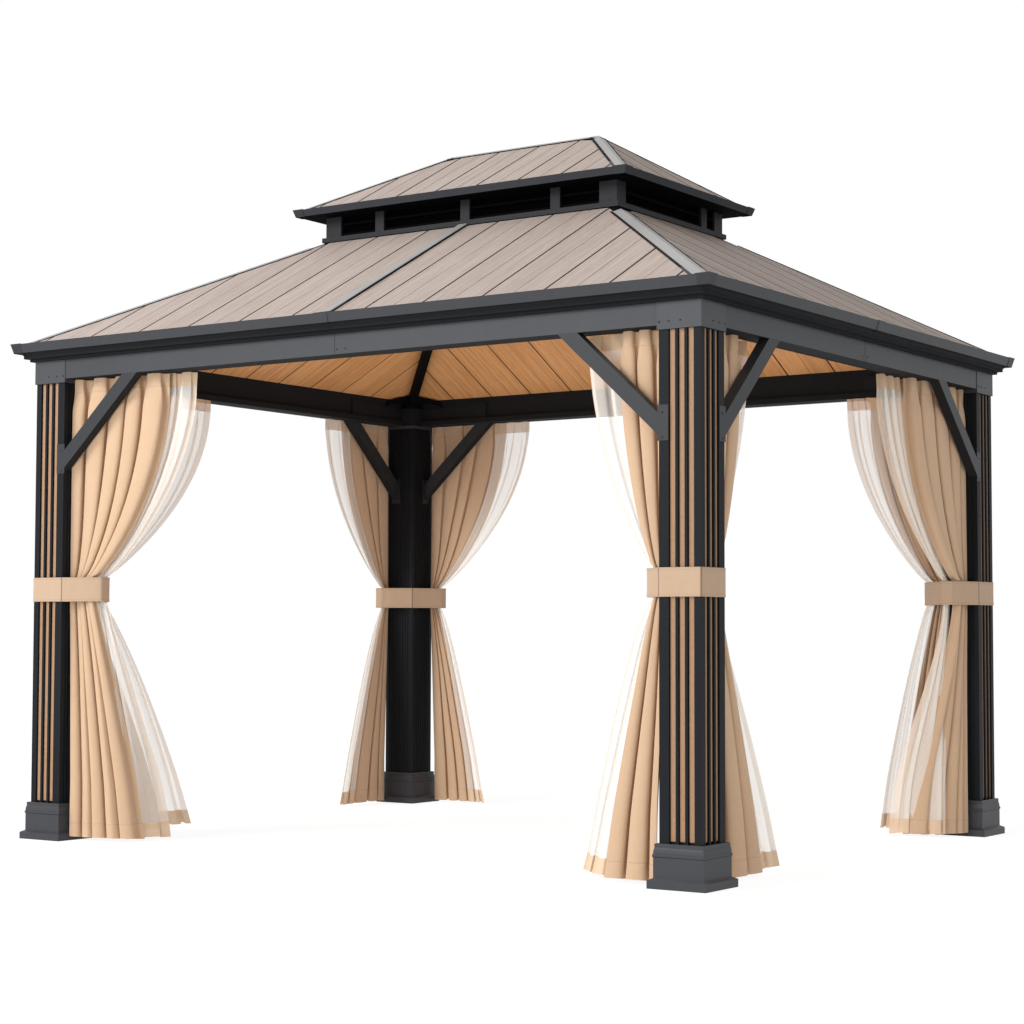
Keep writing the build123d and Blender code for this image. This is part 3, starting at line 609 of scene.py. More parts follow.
# Painted shade: the roof panels, upper roof and vent screens are painted near black, darker than the
# other coats, to show the shade under the roofs and inside the vent.
shell_coat_painted_shade = coat_material("upper_shell_painted_shade_coat", (18, 18, 19), (30, 30, 30), 0.1, 0.9, specular=0.02)


def roof_print(name, light, dark, board, tint, fine, seam):
    """Printed roof boards with deep seams and fine ones by turns."""
    return wood_material(name, light, dark, board, tint, 0.62, deep=1.0, fine=fine, seam=seam)


lower_boards, upper_boards = [
    roof_print(name, (196, 181, 172), (170, 154, 145), board, 0.3, 0.45, 0.0042)
    for name, board in (("lower_board_print", LOWER_BOARD), ("upper_board_print", UPPER_BOARD))]
# Painted shade: the short slopes get a darker copy of the board print, to show them less lit; their
# heavier seams and stronger tint are print.
lower_ends_painted_shade, upper_ends_painted_shade = [
    roof_print(name, (172, 157, 148), (146, 130, 121), board, 0.5, 1.0, 0.0075)
    for name, board in (("lower_end_print_painted_shade", LOWER_BOARD), ("upper_end_print_painted_shade", UPPER_BOARD))]
ceiling_boards = wood_material("ceiling_board_print", (234, 174, 117), (202, 141, 88),
                               CEILING_BOARD, 0.3, 0.5, deep=0.85, fine=0.35)
strip_print = wood_material("strip_print", (186, 149, 116), (146, 112, 86), 0.04, 0.3, 0.55,
                            ("x+y", "z", "z"))
curtain_cloth = cloth_material("curtain_cloth", (217, 185, 154), (205, 172, 140), 0.08)
tie_cloth = cloth_material("tie_cloth", (193, 166, 141), (185, 157, 131), 0.0, band=True)
net_cloth = net_material("net_cloth", (255, 249, 240), (228, 199, 168), 0.50, 0.84)


def unit(vectors):
    """Vectors divided by their lengths."""
    return vectors / np.linalg.norm(vectors, axis=-1, keepdims=True)


def grid_index(rows, columns, closed=False):
    """Vertex numbers of a grid, row by row. A closed grid's rows end on their first vertex."""
    index = np.arange(rows * columns).reshape(rows, columns)
    return np.concatenate([index, index[:, :1]], axis=1) if closed else index


def quads(index):
    """Corner numbers of the faces of a grid of vertex numbers."""
    corners = [index[:-1, :-1], index[:-1, 1:], index[1:, 1:], index[1:, :-1]]
    return np.stack(corners, axis=-1).reshape(-1, 4)


def new_object(name, data):
    """An object that holds the data, put in the scene."""
    made = bpy.data.objects.new(name, data)
    bpy.context.scene.collection.objects.link(made)
    return made


def add_piece(name, points, faces, material, slot, uv=None, borders=None, smooth=True,
              closed=False):
    """A mesh object from arrays, riding on the frame. Maps are given for each vertex, in metres."""
    mesh = bpy.data.meshes.new(name)
    points = np.ascontiguousarray(points, dtype=np.float32).reshape(-1, 3)
    faces = np.ascontiguousarray(faces, dtype=np.int32)
    mesh.vertices.add(len(points))
    mesh.vertices.foreach_set("co", points.ravel())
    mesh.loops.add(faces.size)
    mesh.loops.foreach_set("vertex_index", faces.ravel())
    mesh.polygons.add(len(faces))
    starts = np.arange(0, faces.size, faces.shape[1], dtype=np.int32)
    mesh.polygons.foreach_set("loop_start", starts)
    mesh.update(calc_edges=True)
    for layer, values in (("UVMap", uv), ("Borders", borders)):
        if values is not None:
            flat = np.asarray(values, dtype=np.float32).reshape(-1, 2)[faces.ravel()]
            mesh.uv_layers.new(name=layer).data.foreach_set("uv", flat.ravel())
    mesh.polygons.foreach_set("use_smooth", np.full(len(faces), smooth))
    if closed:
        shell = bmesh.new()
        shell.from_mesh(mesh)
        bmesh.ops.remove_doubles(shell, verts=shell.verts, dist=1e-6)
        bmesh.ops.recalc_face_normals(shell, faces=shell.faces)
        shell.to_mesh(mesh)
        shell.free()
    mesh.validate()
    mesh.materials.append(material)
    made = new_object(name, mesh)
    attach(made, "root")
    return made


def add_trim(name, shape, material, smooth=False):
    """A piece of closed metal trim from its points and faces."""
    add_piece(name, *shape, material, "frame_metal", smooth=smooth, closed=True)


def slab(top, bottom):
    """Points and faces of the closed slab between two grids: both grids, and walls between their
    rims."""
    index = grid_index(*top.shape[:2])
    rim = np.concatenate([index[0, :-1], index[:-1, -1], index[-1, :0:-1], index[:0:-1, 0]])
    turn = np.roll(rim, -1)
    walls = np.stack([rim, rim + index.size, turn + index.size, turn], axis=-1)
    faces = np.concatenate([quads(index), quads(index + index.size)[:, ::-1], walls])
    return np.concatenate([top.reshape(-1, 3), bottom.reshape(-1, 3)]), faces


def carry(section, path, side, up):
    """A closed section of four points carried along straight stretches of a path: each of its points
    is moved along the side and up directions from each path point, and each end is a face."""
    path = np.asarray(path, float)[:, None, :]
    section = np.asarray(section, float)[None]
    rings = path + section[..., :1] * np.asarray(side) + section[..., 1:] * np.asarray(up)
    index = grid_index(*rings.shape[:2], closed=True)
    ends = np.array([index[0, -2::-1], index[-1, :-1]])
    return rings.reshape(-1, 3), np.concatenate([quads(index), ends])


def joined(shapes):
    """Several shapes of points and faces as one."""
    counts = np.cumsum([0] + [len(points) for points, _ in shapes[:-1]])
    points = np.concatenate([points for points, _ in shapes])
    return points, np.concatenate([faces + start for (_, faces), start in zip(shapes, counts)])


SIDES = {"front": (0, -1), "back": (0, 1), "left": (-1, 0), "right": (1, 0)}


class RoofSide:
    """One slope of a hip roof: maps a place along the eave, a run inwards and a rise to a point."""

    def __init__(self, side, half_x, half_y, eave_z, ridge_half, ridge_z):
        self.out = np.array([*SIDES[side], 0.0])
        self.along = np.array([-self.out[1], self.out[0], 0.0])
        long_side = side in ("front", "back")
        self.half = half_x if long_side else half_y
        self.eave = half_y if long_side else half_x
        self.meet = ridge_half if long_side else 0.0
        self.full_run = half_y if long_side else half_x - ridge_half
        self.slope = (ridge_z - eave_z) / self.full_run
        self.eave_z = eave_z
        self.normal = (self.out * self.slope + np.array([0, 0, 1.0])) / sqrt(1 + self.slope ** 2)

    def hip_run(self, place):
        """Run from the eave to the hip or ridge above a place along the eave."""
        return self.full_run * np.minimum(1.0, (self.half - np.abs(place)) / (self.half - self.meet))

    def point(self, place, run, rise):
        """Along the eave by place, inwards by run, up by the slope times run, and off the slope by
        rise."""
        place, run, rise = np.broadcast_arrays(place, run, rise)
        base = place[..., None] * self.along + (self.eave - run)[..., None] * self.out
        height = (self.eave_z + self.slope * run)[..., None] * np.array([0, 0, 1.0])
        return base + height + rise[..., None] * self.normal


def board_profile(half, pitch, first, mirrored):
    """Places across a slope, their drop at the seams, and their distance from the first seam. The
    drop is a V with a flat bottom at each seam, deep or fine by turns. Mirrored boards are laid out
    from the middle both ways."""
    most = int((half + first) / pitch)
    steps = np.arange(-most - 1, most + 2)
    seams_at = first + steps * pitch
    deep = np.mod(steps, 2) == 0
    keep = (np.abs(seams_at) < half - 0.01) & ((seams_at > 0.01) | (not mirrored))
    seams_at, deep = seams_at[keep], deep[keep]
    if mirrored:
        seams_at = np.concatenate([-seams_at[::-1], seams_at])
        deep = np.concatenate([deep[::-1], deep])
    width = np.where(deep, DEEP_SEAM, FINE_SEAM)
    depth = np.minimum(width * 0.6, BOARD_RISE * 0.85)
    places = seams_at[:, None] + width[:, None] * np.array([-1, -0.35, 0.35, 1])[None, :]
    drops = depth[:, None] * np.array([0, 1, 1, 0])[None, :]
    places = np.concatenate([[-half], places.ravel(), [half]])
    drops = np.concatenate([[0.0], drops.ravel(), [0.0]])
    return places, drops, (np.abs(places) if mirrored else places) - first


def boards(name, slope, pitch, first, start_run, top_run, hip_gap, outer_rise, inner_rise, material,
           mirrored):
    """Boards on a slope or under it. Their outer face lies at a rise from the slope's plane, less the
    drop of the seams, and each place runs from the eave up to the hip or the vent."""
    half = slope.half - start_run - hip_gap - 0.002
    places, drops, from_seam = board_profile(half, pitch, first, mirrored)
    last = np.minimum(slope.hip_run(places) - hip_gap, top_run)
    share = np.linspace(0, 1, 9)[:, None]
    runs = start_run + (last - start_run)[None, :] * share
    outer = outer_rise - drops * np.sign(outer_rise)
    top = slope.point(places[None, :], runs, outer[None, :])
    bottom = slope.point(places[None, :], runs, inner_rise)
    points, faces = slab(top, bottom)
    across = np.broadcast_to(from_seam[None, :], runs.shape)
    uv = np.stack([across, runs * sqrt(1 + slope.slope ** 2)], axis=-1).reshape(-1, 2)
    add_piece(name, points, faces, material, "roof_boards", uv=np.concatenate([uv, uv]), smooth=False)


LOWER_RIDGE = EAVE_X - EAVE_Y
LOWER_APEX = EAVE_Z + EAVE_Y * ROOF_SLOPE
CEILING_Z = BEAM_HIGH.z - BEAM_THICKNESS * ROOF_SLOPE
CEILING_APEX = CEILING_Z + BEAM_Y * ROOF_SLOPE
vent_run = EAVE_Y - VENT_Y
ceiling_run = BEAM_Y - VENT_Y
for side in SIDES:
    long_side = side in ("front", "back")
    lower = RoofSide(side, EAVE_X, EAVE_Y, EAVE_Z, LOWER_RIDGE, LOWER_APEX)
    first_seam = LOWER_FIRST_SEAM if long_side else SIDE_FIRST_SEAM
    boards(f"roof_boards_{side}", lower, LOWER_BOARD, first_seam, 0.004, vent_run - CURB_REACH,
           HIP_CAP * 0.6, BOARD_RISE, 0.0002, lower_boards if long_side else lower_ends_painted_shade, long_side)
    ceiling = RoofSide(side, BEAM_X, BEAM_Y, CEILING_Z, LOWER_RIDGE, CEILING_APEX)
    boards(f"ceiling_boards_{side}", ceiling, CEILING_BOARD, CEILING_BOARD / 2, BEAM_THICKNESS,
           ceiling_run, 0.002, -BOARD_RISE, -0.0002, ceiling_boards, False)
    upper = RoofSide(side, SHELL_X, SHELL_Y, SHELL_Z, RIDGE_X, RIDGE_Z)
    boards(f"upper_roof_boards_{side}", upper, UPPER_BOARD, UPPER_BOARD, 0.004,
           upper.full_run - 0.02, UPPER_CAP * 0.6, BOARD_RISE, 0.0002,
           upper_boards if long_side else upper_ends_painted_shade, False)


def lower_height(x, y):
    """Height of the lower roof over a point on plan: the lower of the two slopes that cover it."""
    return EAVE_Z + ROOF_SLOPE * np.minimum(EAVE_X - np.abs(x), EAVE_Y - np.abs(y))


def upper_height(x, y):
    """Height of the upper roof over a point on plan: the lowest of its slopes there."""
    share_x = (SHELL_X - np.abs(x)) / (SHELL_X - RIDGE_X)
    share_y = (SHELL_Y - np.abs(y)) / SHELL_Y
    return SHELL_Z + (RIDGE_Z - SHELL_Z) * np.minimum(share_x, share_y)


def cap_hem(start, end, offset, width, height, rise):
    """A folded edge beside a cap: a bar of a width at an offset from the cap's middle line, on the
    roof."""
    start, end = np.array(start, float), np.array(end, float)
    course = unit(end - start)
    side = np.array([-course[1], course[0]])
    plan = np.stack([start, end]) + side * offset
    path = np.column_stack([plan, height(plan[:, 0], plan[:, 1])])
    half = width / 2
    section = [(-half, -0.004), (half, -0.004), (half * 0.8, rise), (-half * 0.8, rise)]
    return carry(section, path, (*side, 0.0), (0, 0, 1))


def cap_hems():
    """Dark folded edges along both sides of every hip cap, ridge cap and mid batten; their dark colour
    also paints the shade along the caps' raised sides. Beside the hips they are broad on the long
    slopes and narrow on the short ones."""
    shapes = []
    rise = CAP_RISE + HEM_RISE
    hip_foot = HIP_CAP / 4 + 0.004
    hip_stop = EAVE_Y - VENT_Y - CURB_REACH - HIP_CAP / 2
    upper_foot = UPPER_CAP / 4 + 0.004
    for x, y in CORNERS.values():
        for turn in (-1, 1):
            width = BROAD_HEM if turn == -x * y else NARROW_HEM
            start = (x * (EAVE_X - hip_foot), y * (EAVE_Y - hip_foot))
            end = (x * (EAVE_X - hip_stop), y * (EAVE_Y - hip_stop))
            offset = turn * (HIP_CAP + width * 0.5) / 2
            shapes.append(cap_hem(start, end, offset, width, lower_height, rise))
            start = (x * (SHELL_X - upper_foot), y * (SHELL_Y - upper_foot))
            offset = turn * (UPPER_CAP + width * 0.5) / 2
            shapes.append(cap_hem(start, (x * RIDGE_X, 0), offset, width, upper_height, rise))
    for turn in (-1, 1):
        offset = turn * (RIDGE_CAP + NARROW_HEM) / 2
        start, end = (-RIDGE_X, 0), (RIDGE_X, 0)
        shapes.append(cap_hem(start, end, offset, BROAD_HEM * 0.7, upper_height, rise))
        foot = (0.0, turn * (EAVE_Y - 0.002))
        head = (0.0, turn * (VENT_Y + CURB_REACH + 0.002))
        for edge in (-1, 1):
            offset = edge * (MID_BATTEN + NARROW_HEM) / 2
            shapes.append(cap_hem(foot, head, offset, NARROW_HEM, lower_height, BATTEN_RISE * 0.75))
    return joined(shapes)


def dome_unit(sides=12, rings=4):
    """A unit dome on the XY plane: rings whose radius is the cosine and height the sine of a rising
    angle."""
    rise = np.linspace(0, pi / 2, rings)[:, None]
    turn = np.linspace(0, 2 * pi, sides + 1)[None, :]
    radius = np.cos(rise)
    return np.stack([radius * np.cos(turn), radius * np.sin(turn), np.sin(rise) + 0 * turn], axis=-1)


def domes(heads, radius, height):
    """Round rivet heads, each given by its place and the level direction that it faces."""
    places, outs = np.array(heads, float).transpose(1, 0, 2)
    first = np.cross([[0, 0, 1.0]], outs)
    second = np.cross(outs, first)
    dome = dome_unit()
    sides, turned, up = [axis[:, None, None, :] for axis in (first, second, outs)]
    grid = (places[:, None, None, :] + radius * dome[None, ..., :1] * sides
            + radius * dome[None, ..., 1:2] * turned + height * dome[None, ..., 2:] * up)
    index = grid_index(*dome.shape[:2])
    starts = np.arange(len(places)) * index.size
    return grid.reshape(-1, 3), (quads(index)[None] + starts[:, None, None]).reshape(-1, 4)


def inward(corner, along, across):
    """Plan point measured inwards from an outer corner of the beam ring."""
    return corner[0] * (BEAM_X - along), corner[1] * (BEAM_Y - across)


def rivets():
    """Rivets on the corner covers, on the braces' plates and the vent's corner posts, and at the
    joint in the middle of each beam."""
    heads = []

    def beside(corner, along, off, height):
        """A head at a distance along both beams from a corner, and off their outer faces."""
        heads.append(((*inward(corner, along, off), height), (0, corner[1], 0)))
        heads.append(((*inward(corner, off, along), height), (corner[0], 0, 0)))

    for corner in CORNERS.values():
        for along in COVER_RIVETS:
            beside(corner, along, -COVER_THICKNESS, HEAD_Z + 0.013)
        for height in PLATE_RIVETS:
            beside(corner, 0.168, 0.0008, height)
        place = (corner[0] * (VENT_X - 0.034), corner[1] * VENT_Y, EAVE_Z + 0.565)
        heads.append((place, (0, corner[1], 0)))
    for sign in (-1, 1):
        for x in (0.024, 0.070):
            heads.append(((x, sign * BEAM_Y, HEAD_Z + 0.021), (0, sign, 0)))
        for y in (-0.024, 0.024):
            heads.append(((sign * BEAM_X, y, HEAD_Z + 0.021), (sign, 0, 0)))
    return domes(heads, RIVET_RADIUS, RIVET_HEIGHT)


def beam_seams():
    """Joint lines in the middle of the beams: a thin dark bar across each outer face."""
    section = [(-0.0008, -0.0002), (0.0008, -0.0002), (0.0008, 0.0004), (-0.0008, 0.0004)]
    top = HEAD_Z + 0.087
    shapes = []
    for sign in (-1, 1):
        path = [(0.013, sign * BEAM_Y, HEAD_Z), (0.013, sign * BEAM_Y, top)]
        shapes.append(carry(section, path, (1, 0, 0), (0, sign, 0)))
        path = [(sign * BEAM_X, 0.0, HEAD_Z), (sign * BEAM_X, 0.0, top)]
        shapes.append(carry(section, path, (0, 1, 0), (sign, 0, 0)))
    return joined(shapes)


def boot_collars():
    """Mouldings round the boots: a lip round the neck and a bead on the plinth's top edge, as sections
    in distance from the post's middle and height, carried round the post."""
    lip = [(0.0925, 0.001), (0.1015, 0.001), (0.1035, -0.001), (0.1035, -0.012),
           (0.1005, -0.014), (0.0925, -0.014)]
    bead = [(0.1000, -0.039), (0.1085, -0.039), (0.1100, -0.041), (0.1100, -0.047),
            (0.1085, -0.049), (0.1000, -0.049)]
    turns = np.array([(1, 1), (-1, 1), (-1, -1), (1, -1), (1, 1)], float)
    shapes = []
    for corner in CORNERS.values():
        middle = np.array(inward(corner, POST_MIDDLE, POST_MIDDLE))
        for profile in (lip, bead):
            rings = [(*(middle + turn * r), BOOT_TOP + z) for turn in turns for r, z in profile]
            index = grid_index(len(turns), len(profile), closed=True)
            shapes.append((np.array(rings), quads(index)))
    return joined(shapes)


def vent_shadow_screens():
    """Painted shade: dark screens that stand behind the louvres on the four sides of the vent, upright
    slabs from the curb to the underside of the upper roof, which show the shade inside the vent."""
    inset, half = 0.040, 0.0008
    low, high = VENT_Z + 0.004, SHELL_Z - 0.016
    section = [(-half, 0.0), (half, 0.0), (half, high - low), (-half, high - low)]
    x, y = VENT_X - inset, VENT_Y - inset
    shapes = []
    for sign in (-1, 1):
        path = [(-x, sign * y, low), (x, sign * y, low)]
        shapes.append(carry(section, path, (0, 1, 0), (0, 0, 1)))
        path = [(sign * x, -y, low), (sign * x, y, low)]
        shapes.append(carry(section, path, (1, 0, 0), (0, 0, 1)))
    return joined(shapes)


add_trim("cap_hems", cap_hems(), hem_coat_and_shade)
add_trim("rivets", rivets(), fixing_coat, smooth=True)
add_trim("boot_collars", boot_collars(), frame_coat)
# Painted shade: near-black screens inside the vent.
add_trim("vent_shadow_screens", vent_shadow_screens(), shell_coat_painted_shade)
add_trim("beam_seams", beam_seams(), seam_dark)


def smooth_step(value, low, high):
    """0 below low, 1 above high, and a smooth rise between."""
    share = np.clip((value - low) / (high - low), 0, 1)
    return share * share * (3 - 2 * share)


def reach_at(z, reach, sweep, spread):
    """Reach of a cloth from its post at each height: it falls along a quarter sine of a power of the
    height from the top to the tie, stays narrow through the tie, and grows as a power of the drop from
    there to the hem. Sweep and spread are those powers."""
    top, waist, hem, _ = reach
    above = np.clip((z - TIE_TOP) / (CLOTH_TOP - TIE_TOP), 0, 1)
    below = np.clip((TIE_Z - z) / (TIE_Z - HEM_Z), 0, 1)
    upper = waist + (top - waist) * np.sin(pi / 2 * above ** sweep)
    return np.where(z > TIE_TOP, upper, waist + (hem - waist) * below ** spread)


def near_edge(z):
    """The cloth's edge beside the post, which leans out in a straight line from the tie to the boot."""
    lean = np.clip((TIE_Z - z) / (TIE_Z - BOOT_FLARE_HIGH), 0, 1)
    return CLOTH_NEAR + (BOOT_FAR - CLOTH_NEAR) * lean


def cloth_heights():
    """Heights of a cloth's rows, closer together at the header, the tie and the hem."""
    stretches = [
        np.linspace(CLOTH_TOP, CLOTH_TOP - 0.10, 10, endpoint=False),
        np.linspace(CLOTH_TOP - 0.10, TIE_TOP + 0.12, 34, endpoint=False),
        np.linspace(TIE_TOP + 0.12, TIE_Z - 0.10, 22, endpoint=False),
        np.linspace(TIE_Z - 0.10, HEM_Z + 0.10, 34, endpoint=False),
        np.linspace(HEM_Z + 0.10, HEM_Z, 8),
    ]
    return np.concatenate(stretches)


def waist_share(z, spread):
    """1 at the middle of the tie, and falling off above and below it as a bell curve whose spread is
    given in metres."""
    return np.exp(-((z - (TIE_Z + TIE_TOP) / 2) / spread) ** 2)


def fold_widths(seed, folds, z):
    """Share of the reach that each fold takes at each height: uneven, and drifting slowly with height.
    Near the tie every second fold closes up between its neighbours, and in the skirt some spread."""
    rng = np.random.default_rng(seed)
    base = 1 + rng.uniform(-0.35, 0.35, folds)
    drift = rng.uniform(0, 2 * pi, folds)
    skirt = rng.uniform(0.5, 1.6, folds)
    closing = np.where(np.arange(folds) % 2, 0.6, 0.0)
    below = smooth_step(TIE_TOP - z, 0.0, 0.5)[:, None]
    wander = 0.16 * np.sin(2 * pi * z[:, None] * 0.45 + drift[None, :])
    widths = base[None, :] * (1 - below) + skirt[None, :] * below + wander
    widths = np.maximum(widths * (1 - closing[None, :] * waist_share(z, 0.42)[:, None]), 0.15)
    return widths / widths.sum(axis=1, keepdims=True)


def gathered(seed, folds, reach, start, middle, swing, shape, powers, loose, steps=20):
    """Points of a gathered cloth as rows down and columns across, in local along, across and height.

    Each fold is one turn of a wave: it moves across by the swing times the cosine of the turn, and
    along by the turn plus a tuck times a sine of twice the turn over 4 pi. A tuck above one rounds the
    lobes and folds the walls between them back under the lobes. A positive front widens the lobes on
    the outer side, a negative one those on the inner side, by a sine of the turn. The shape holds tuck
    and front. The last fold stops half way. Start is the share of the reach where the cloth begins.
    Below the tie the cloth turns in towards its leading edge, by the square of the share of its width.
    Away from the tie a loose cloth swings more and hangs further in: loose holds the share and the
    distance in metres.
    """
    z = cloth_heights()
    tuck, front = shape
    rng = np.random.default_rng(seed + 50)
    widths = fold_widths(seed, folds, z)
    edges = np.concatenate([np.zeros((len(z), 1)), np.cumsum(widths, axis=1)], axis=1)
    phase = np.linspace(0, folds - 0.5, int((folds - 0.5) * steps) + 1)
    fold = np.minimum(phase.astype(int), folds - 1)
    turn = phase - fold
    header = smooth_step(z, CLOTH_TOP - 0.14, CLOTH_TOP)
    tucked = tuck * (1 - 0.45 * header) * (1 - 0.25 * waist_share(z, 0.12))
    inside = turn[None, :] + tucked[:, None] * np.sin(4 * pi * turn)[None, :] / (4 * pi)
    inside = inside + (front * (1 - 0.7 * header))[:, None] * np.sin(2 * pi * turn)[None, :] / (2 * pi)
    share = edges[:, fold] + widths[:, fold] * inside
    share = share / share[:, -1:]
    total = reach_at(z, reach, *powers)
    near = near_edge(z)
    begin = near + total * start
    along = begin[:, None] + share * (near + total - begin)[:, None]
    strength = 1 + rng.uniform(-0.30, 0.10, folds + 1)
    small = np.where(np.arange(folds + 1) % 2, 0.45, 0.0)
    closed = strength[None, :] * (1 - small[None, :] * waist_share(z, 0.42)[:, None])
    later = np.minimum(fold + 1, folds)
    weight = closed[:, fold] * (1 - turn)[None, :] + closed[:, later] * turn[None, :]
    gather = 1 - 0.40 * smooth_step(z, CLOTH_TOP - 0.16, CLOTH_TOP - HEADER)
    below = smooth_step(TIE_Z - z, 0.0, TIE_Z)
    flare = 1 + 0.4 * below
    middle = middle + reach[3] * below[:, None] * share ** 2
    away = 1 - waist_share(z, 0.30)
    swings = swing * gather * flare * (1 + loose[0] * away)
    wave = swings[:, None] * weight * np.cos(2 * pi * turn)[None, :]
    across = middle + (loose[1] * away)[:, None] - wave
    line = np.exp(-((z - (CLOTH_TOP - HEADER)) / 0.035) ** 2)[:, None]
    fine = np.sin(2 * pi * phase * 3.0 + rng.uniform(0, 6))[None, :]
    across = across + 0.0022 * line * fine
    crease = waist_share(z, 0.20)[:, None]
    across = across + 0.0012 * crease * np.sin(2 * pi * phase * 2.0 + 1.0)[None, :]
    scallop = 0.5 - 0.5 * np.cos(2 * pi * turn)
    sag = 0.003 * smooth_step(z, CLOTH_TOP - 0.03, CLOTH_TOP)[:, None] * scallop[None, :]
    lift = 0.006 * smooth_step(HEM_Z + 0.06 - z, 0.0, 0.06)[:, None] * (1 - scallop)[None, :]
    height = z[:, None] - sag + lift
    return np.stack([along, across, height], axis=-1)


def cloth_maps(local):
    """Maps of a cloth in metres: its width from the near edge and drop from the top, then its distance
    from the leading edge and from the hem. Widths are measured along the folds, in the row that comes
    after a third of the rows."""
    row = local[len(local) // 3]
    steps = np.linalg.norm(np.diff(row, axis=0), axis=1)
    width = np.concatenate([[0], np.cumsum(steps)])
    drop = CLOTH_TOP - cloth_heights()
    across, down = np.meshgrid(width, drop)
    uv = np.stack([across, down], axis=-1)
    borders = np.stack([width[-1] - across, drop[-1] - down], axis=-1)
    return uv, borders, width[-1], drop[-1]


def hang(kind, name, along_x, local, material):
    corner = CORNERS[name]
    a, b, z = local[..., 0], local[..., 1], local[..., 2]
    x, y = inward(corner, a, b) if along_x else inward(corner, b, a)
    uv, borders, width, drop = cloth_maps(local)
    made = add_piece(f"{kind}_{name}_{'long' if along_x else 'short'}", np.stack([x, y, z], axis=-1),
                     quads(grid_index(*z.shape)), material, "curtain_fabric", uv=uv, borders=borders)
    return made


def curtains():
    """Two bundles at each post, each a thick curtain with a net behind it that reaches further out."""
    for number, (name, corner) in enumerate(CORNERS.items()):
        place, net_place = TUCKED_PLACE if name == TUCKED else FREE_PLACE
        loose = TUCKED_LOOSE if name == TUCKED else FREE_LOOSE
        for along_x in (True, False):
            thick, net = CLOTH_REACH[name][0 if along_x else 1]
            seed = 10 * number + (0 if along_x else 5)
            seen_outside = corner[1] < 0 if along_x else corner[0] > 0
            front = 1.0 if seen_outside else -1.0
            folds = max(3, round(thick[0] / FOLD_LENGTH) + 1)
            local = gathered(seed, folds, thick, 0.0, *place, (1.8, 0.9 * front), (0.78, 0.85), loose)
            curtain = hang("curtain", name, along_x, local, curtain_cloth)
            start = max(0.0, (thick[0] - NET_OVERLAP) / net[0])
            folds = max(2, round((net[0] * (1 - start)) / NET_FOLD_LENGTH) + 1)
            local = gathered(seed + 3, folds, net, start, *net_place, (1.8, 0.5 * front), (0.85, 0.78),
                             loose)
            hang("net", name, along_x, local, net_cloth)
            if along_x:
                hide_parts(f"curtains_{name}")


curtains()


def rounded_loop(outline, step, blur):
    """Evenly spaced points round a closed outline, each the mean of its neighbours within the blur."""
    corners = np.array(outline + outline[:1], float)
    run = np.concatenate([[0], np.cumsum(np.linalg.norm(np.diff(corners, axis=0), axis=1))])
    count = int(run[-1] / step)
    at = np.arange(count) * run[-1] / count
    loop = np.stack([np.interp(at, run, corners[:, axis]) for axis in (0, 1)], axis=-1)
    reach = max(1, int(blur / step))
    kernel = np.hanning(2 * reach + 3)[1:-1]
    kernel /= kernel.sum()
    wrapped = np.concatenate([loop[-reach:], loop, loop[:reach]])
    smooth = np.stack([np.convolve(wrapped[:, axis], kernel, mode="valid") for axis in (0, 1)], axis=-1)
    return smooth, at


def outward(loop):
    """Unit plan normals of a closed loop, pointing away from its middle."""
    tangent = unit(np.roll(loop, -1, axis=0) - np.roll(loop, 1, axis=0))
    normal = np.stack([tangent[:, 1], -tangent[:, 0]], axis=-1)
    side = np.sign(np.sum(normal * (loop - loop.mean(axis=0)), axis=1).mean())
    return normal * side


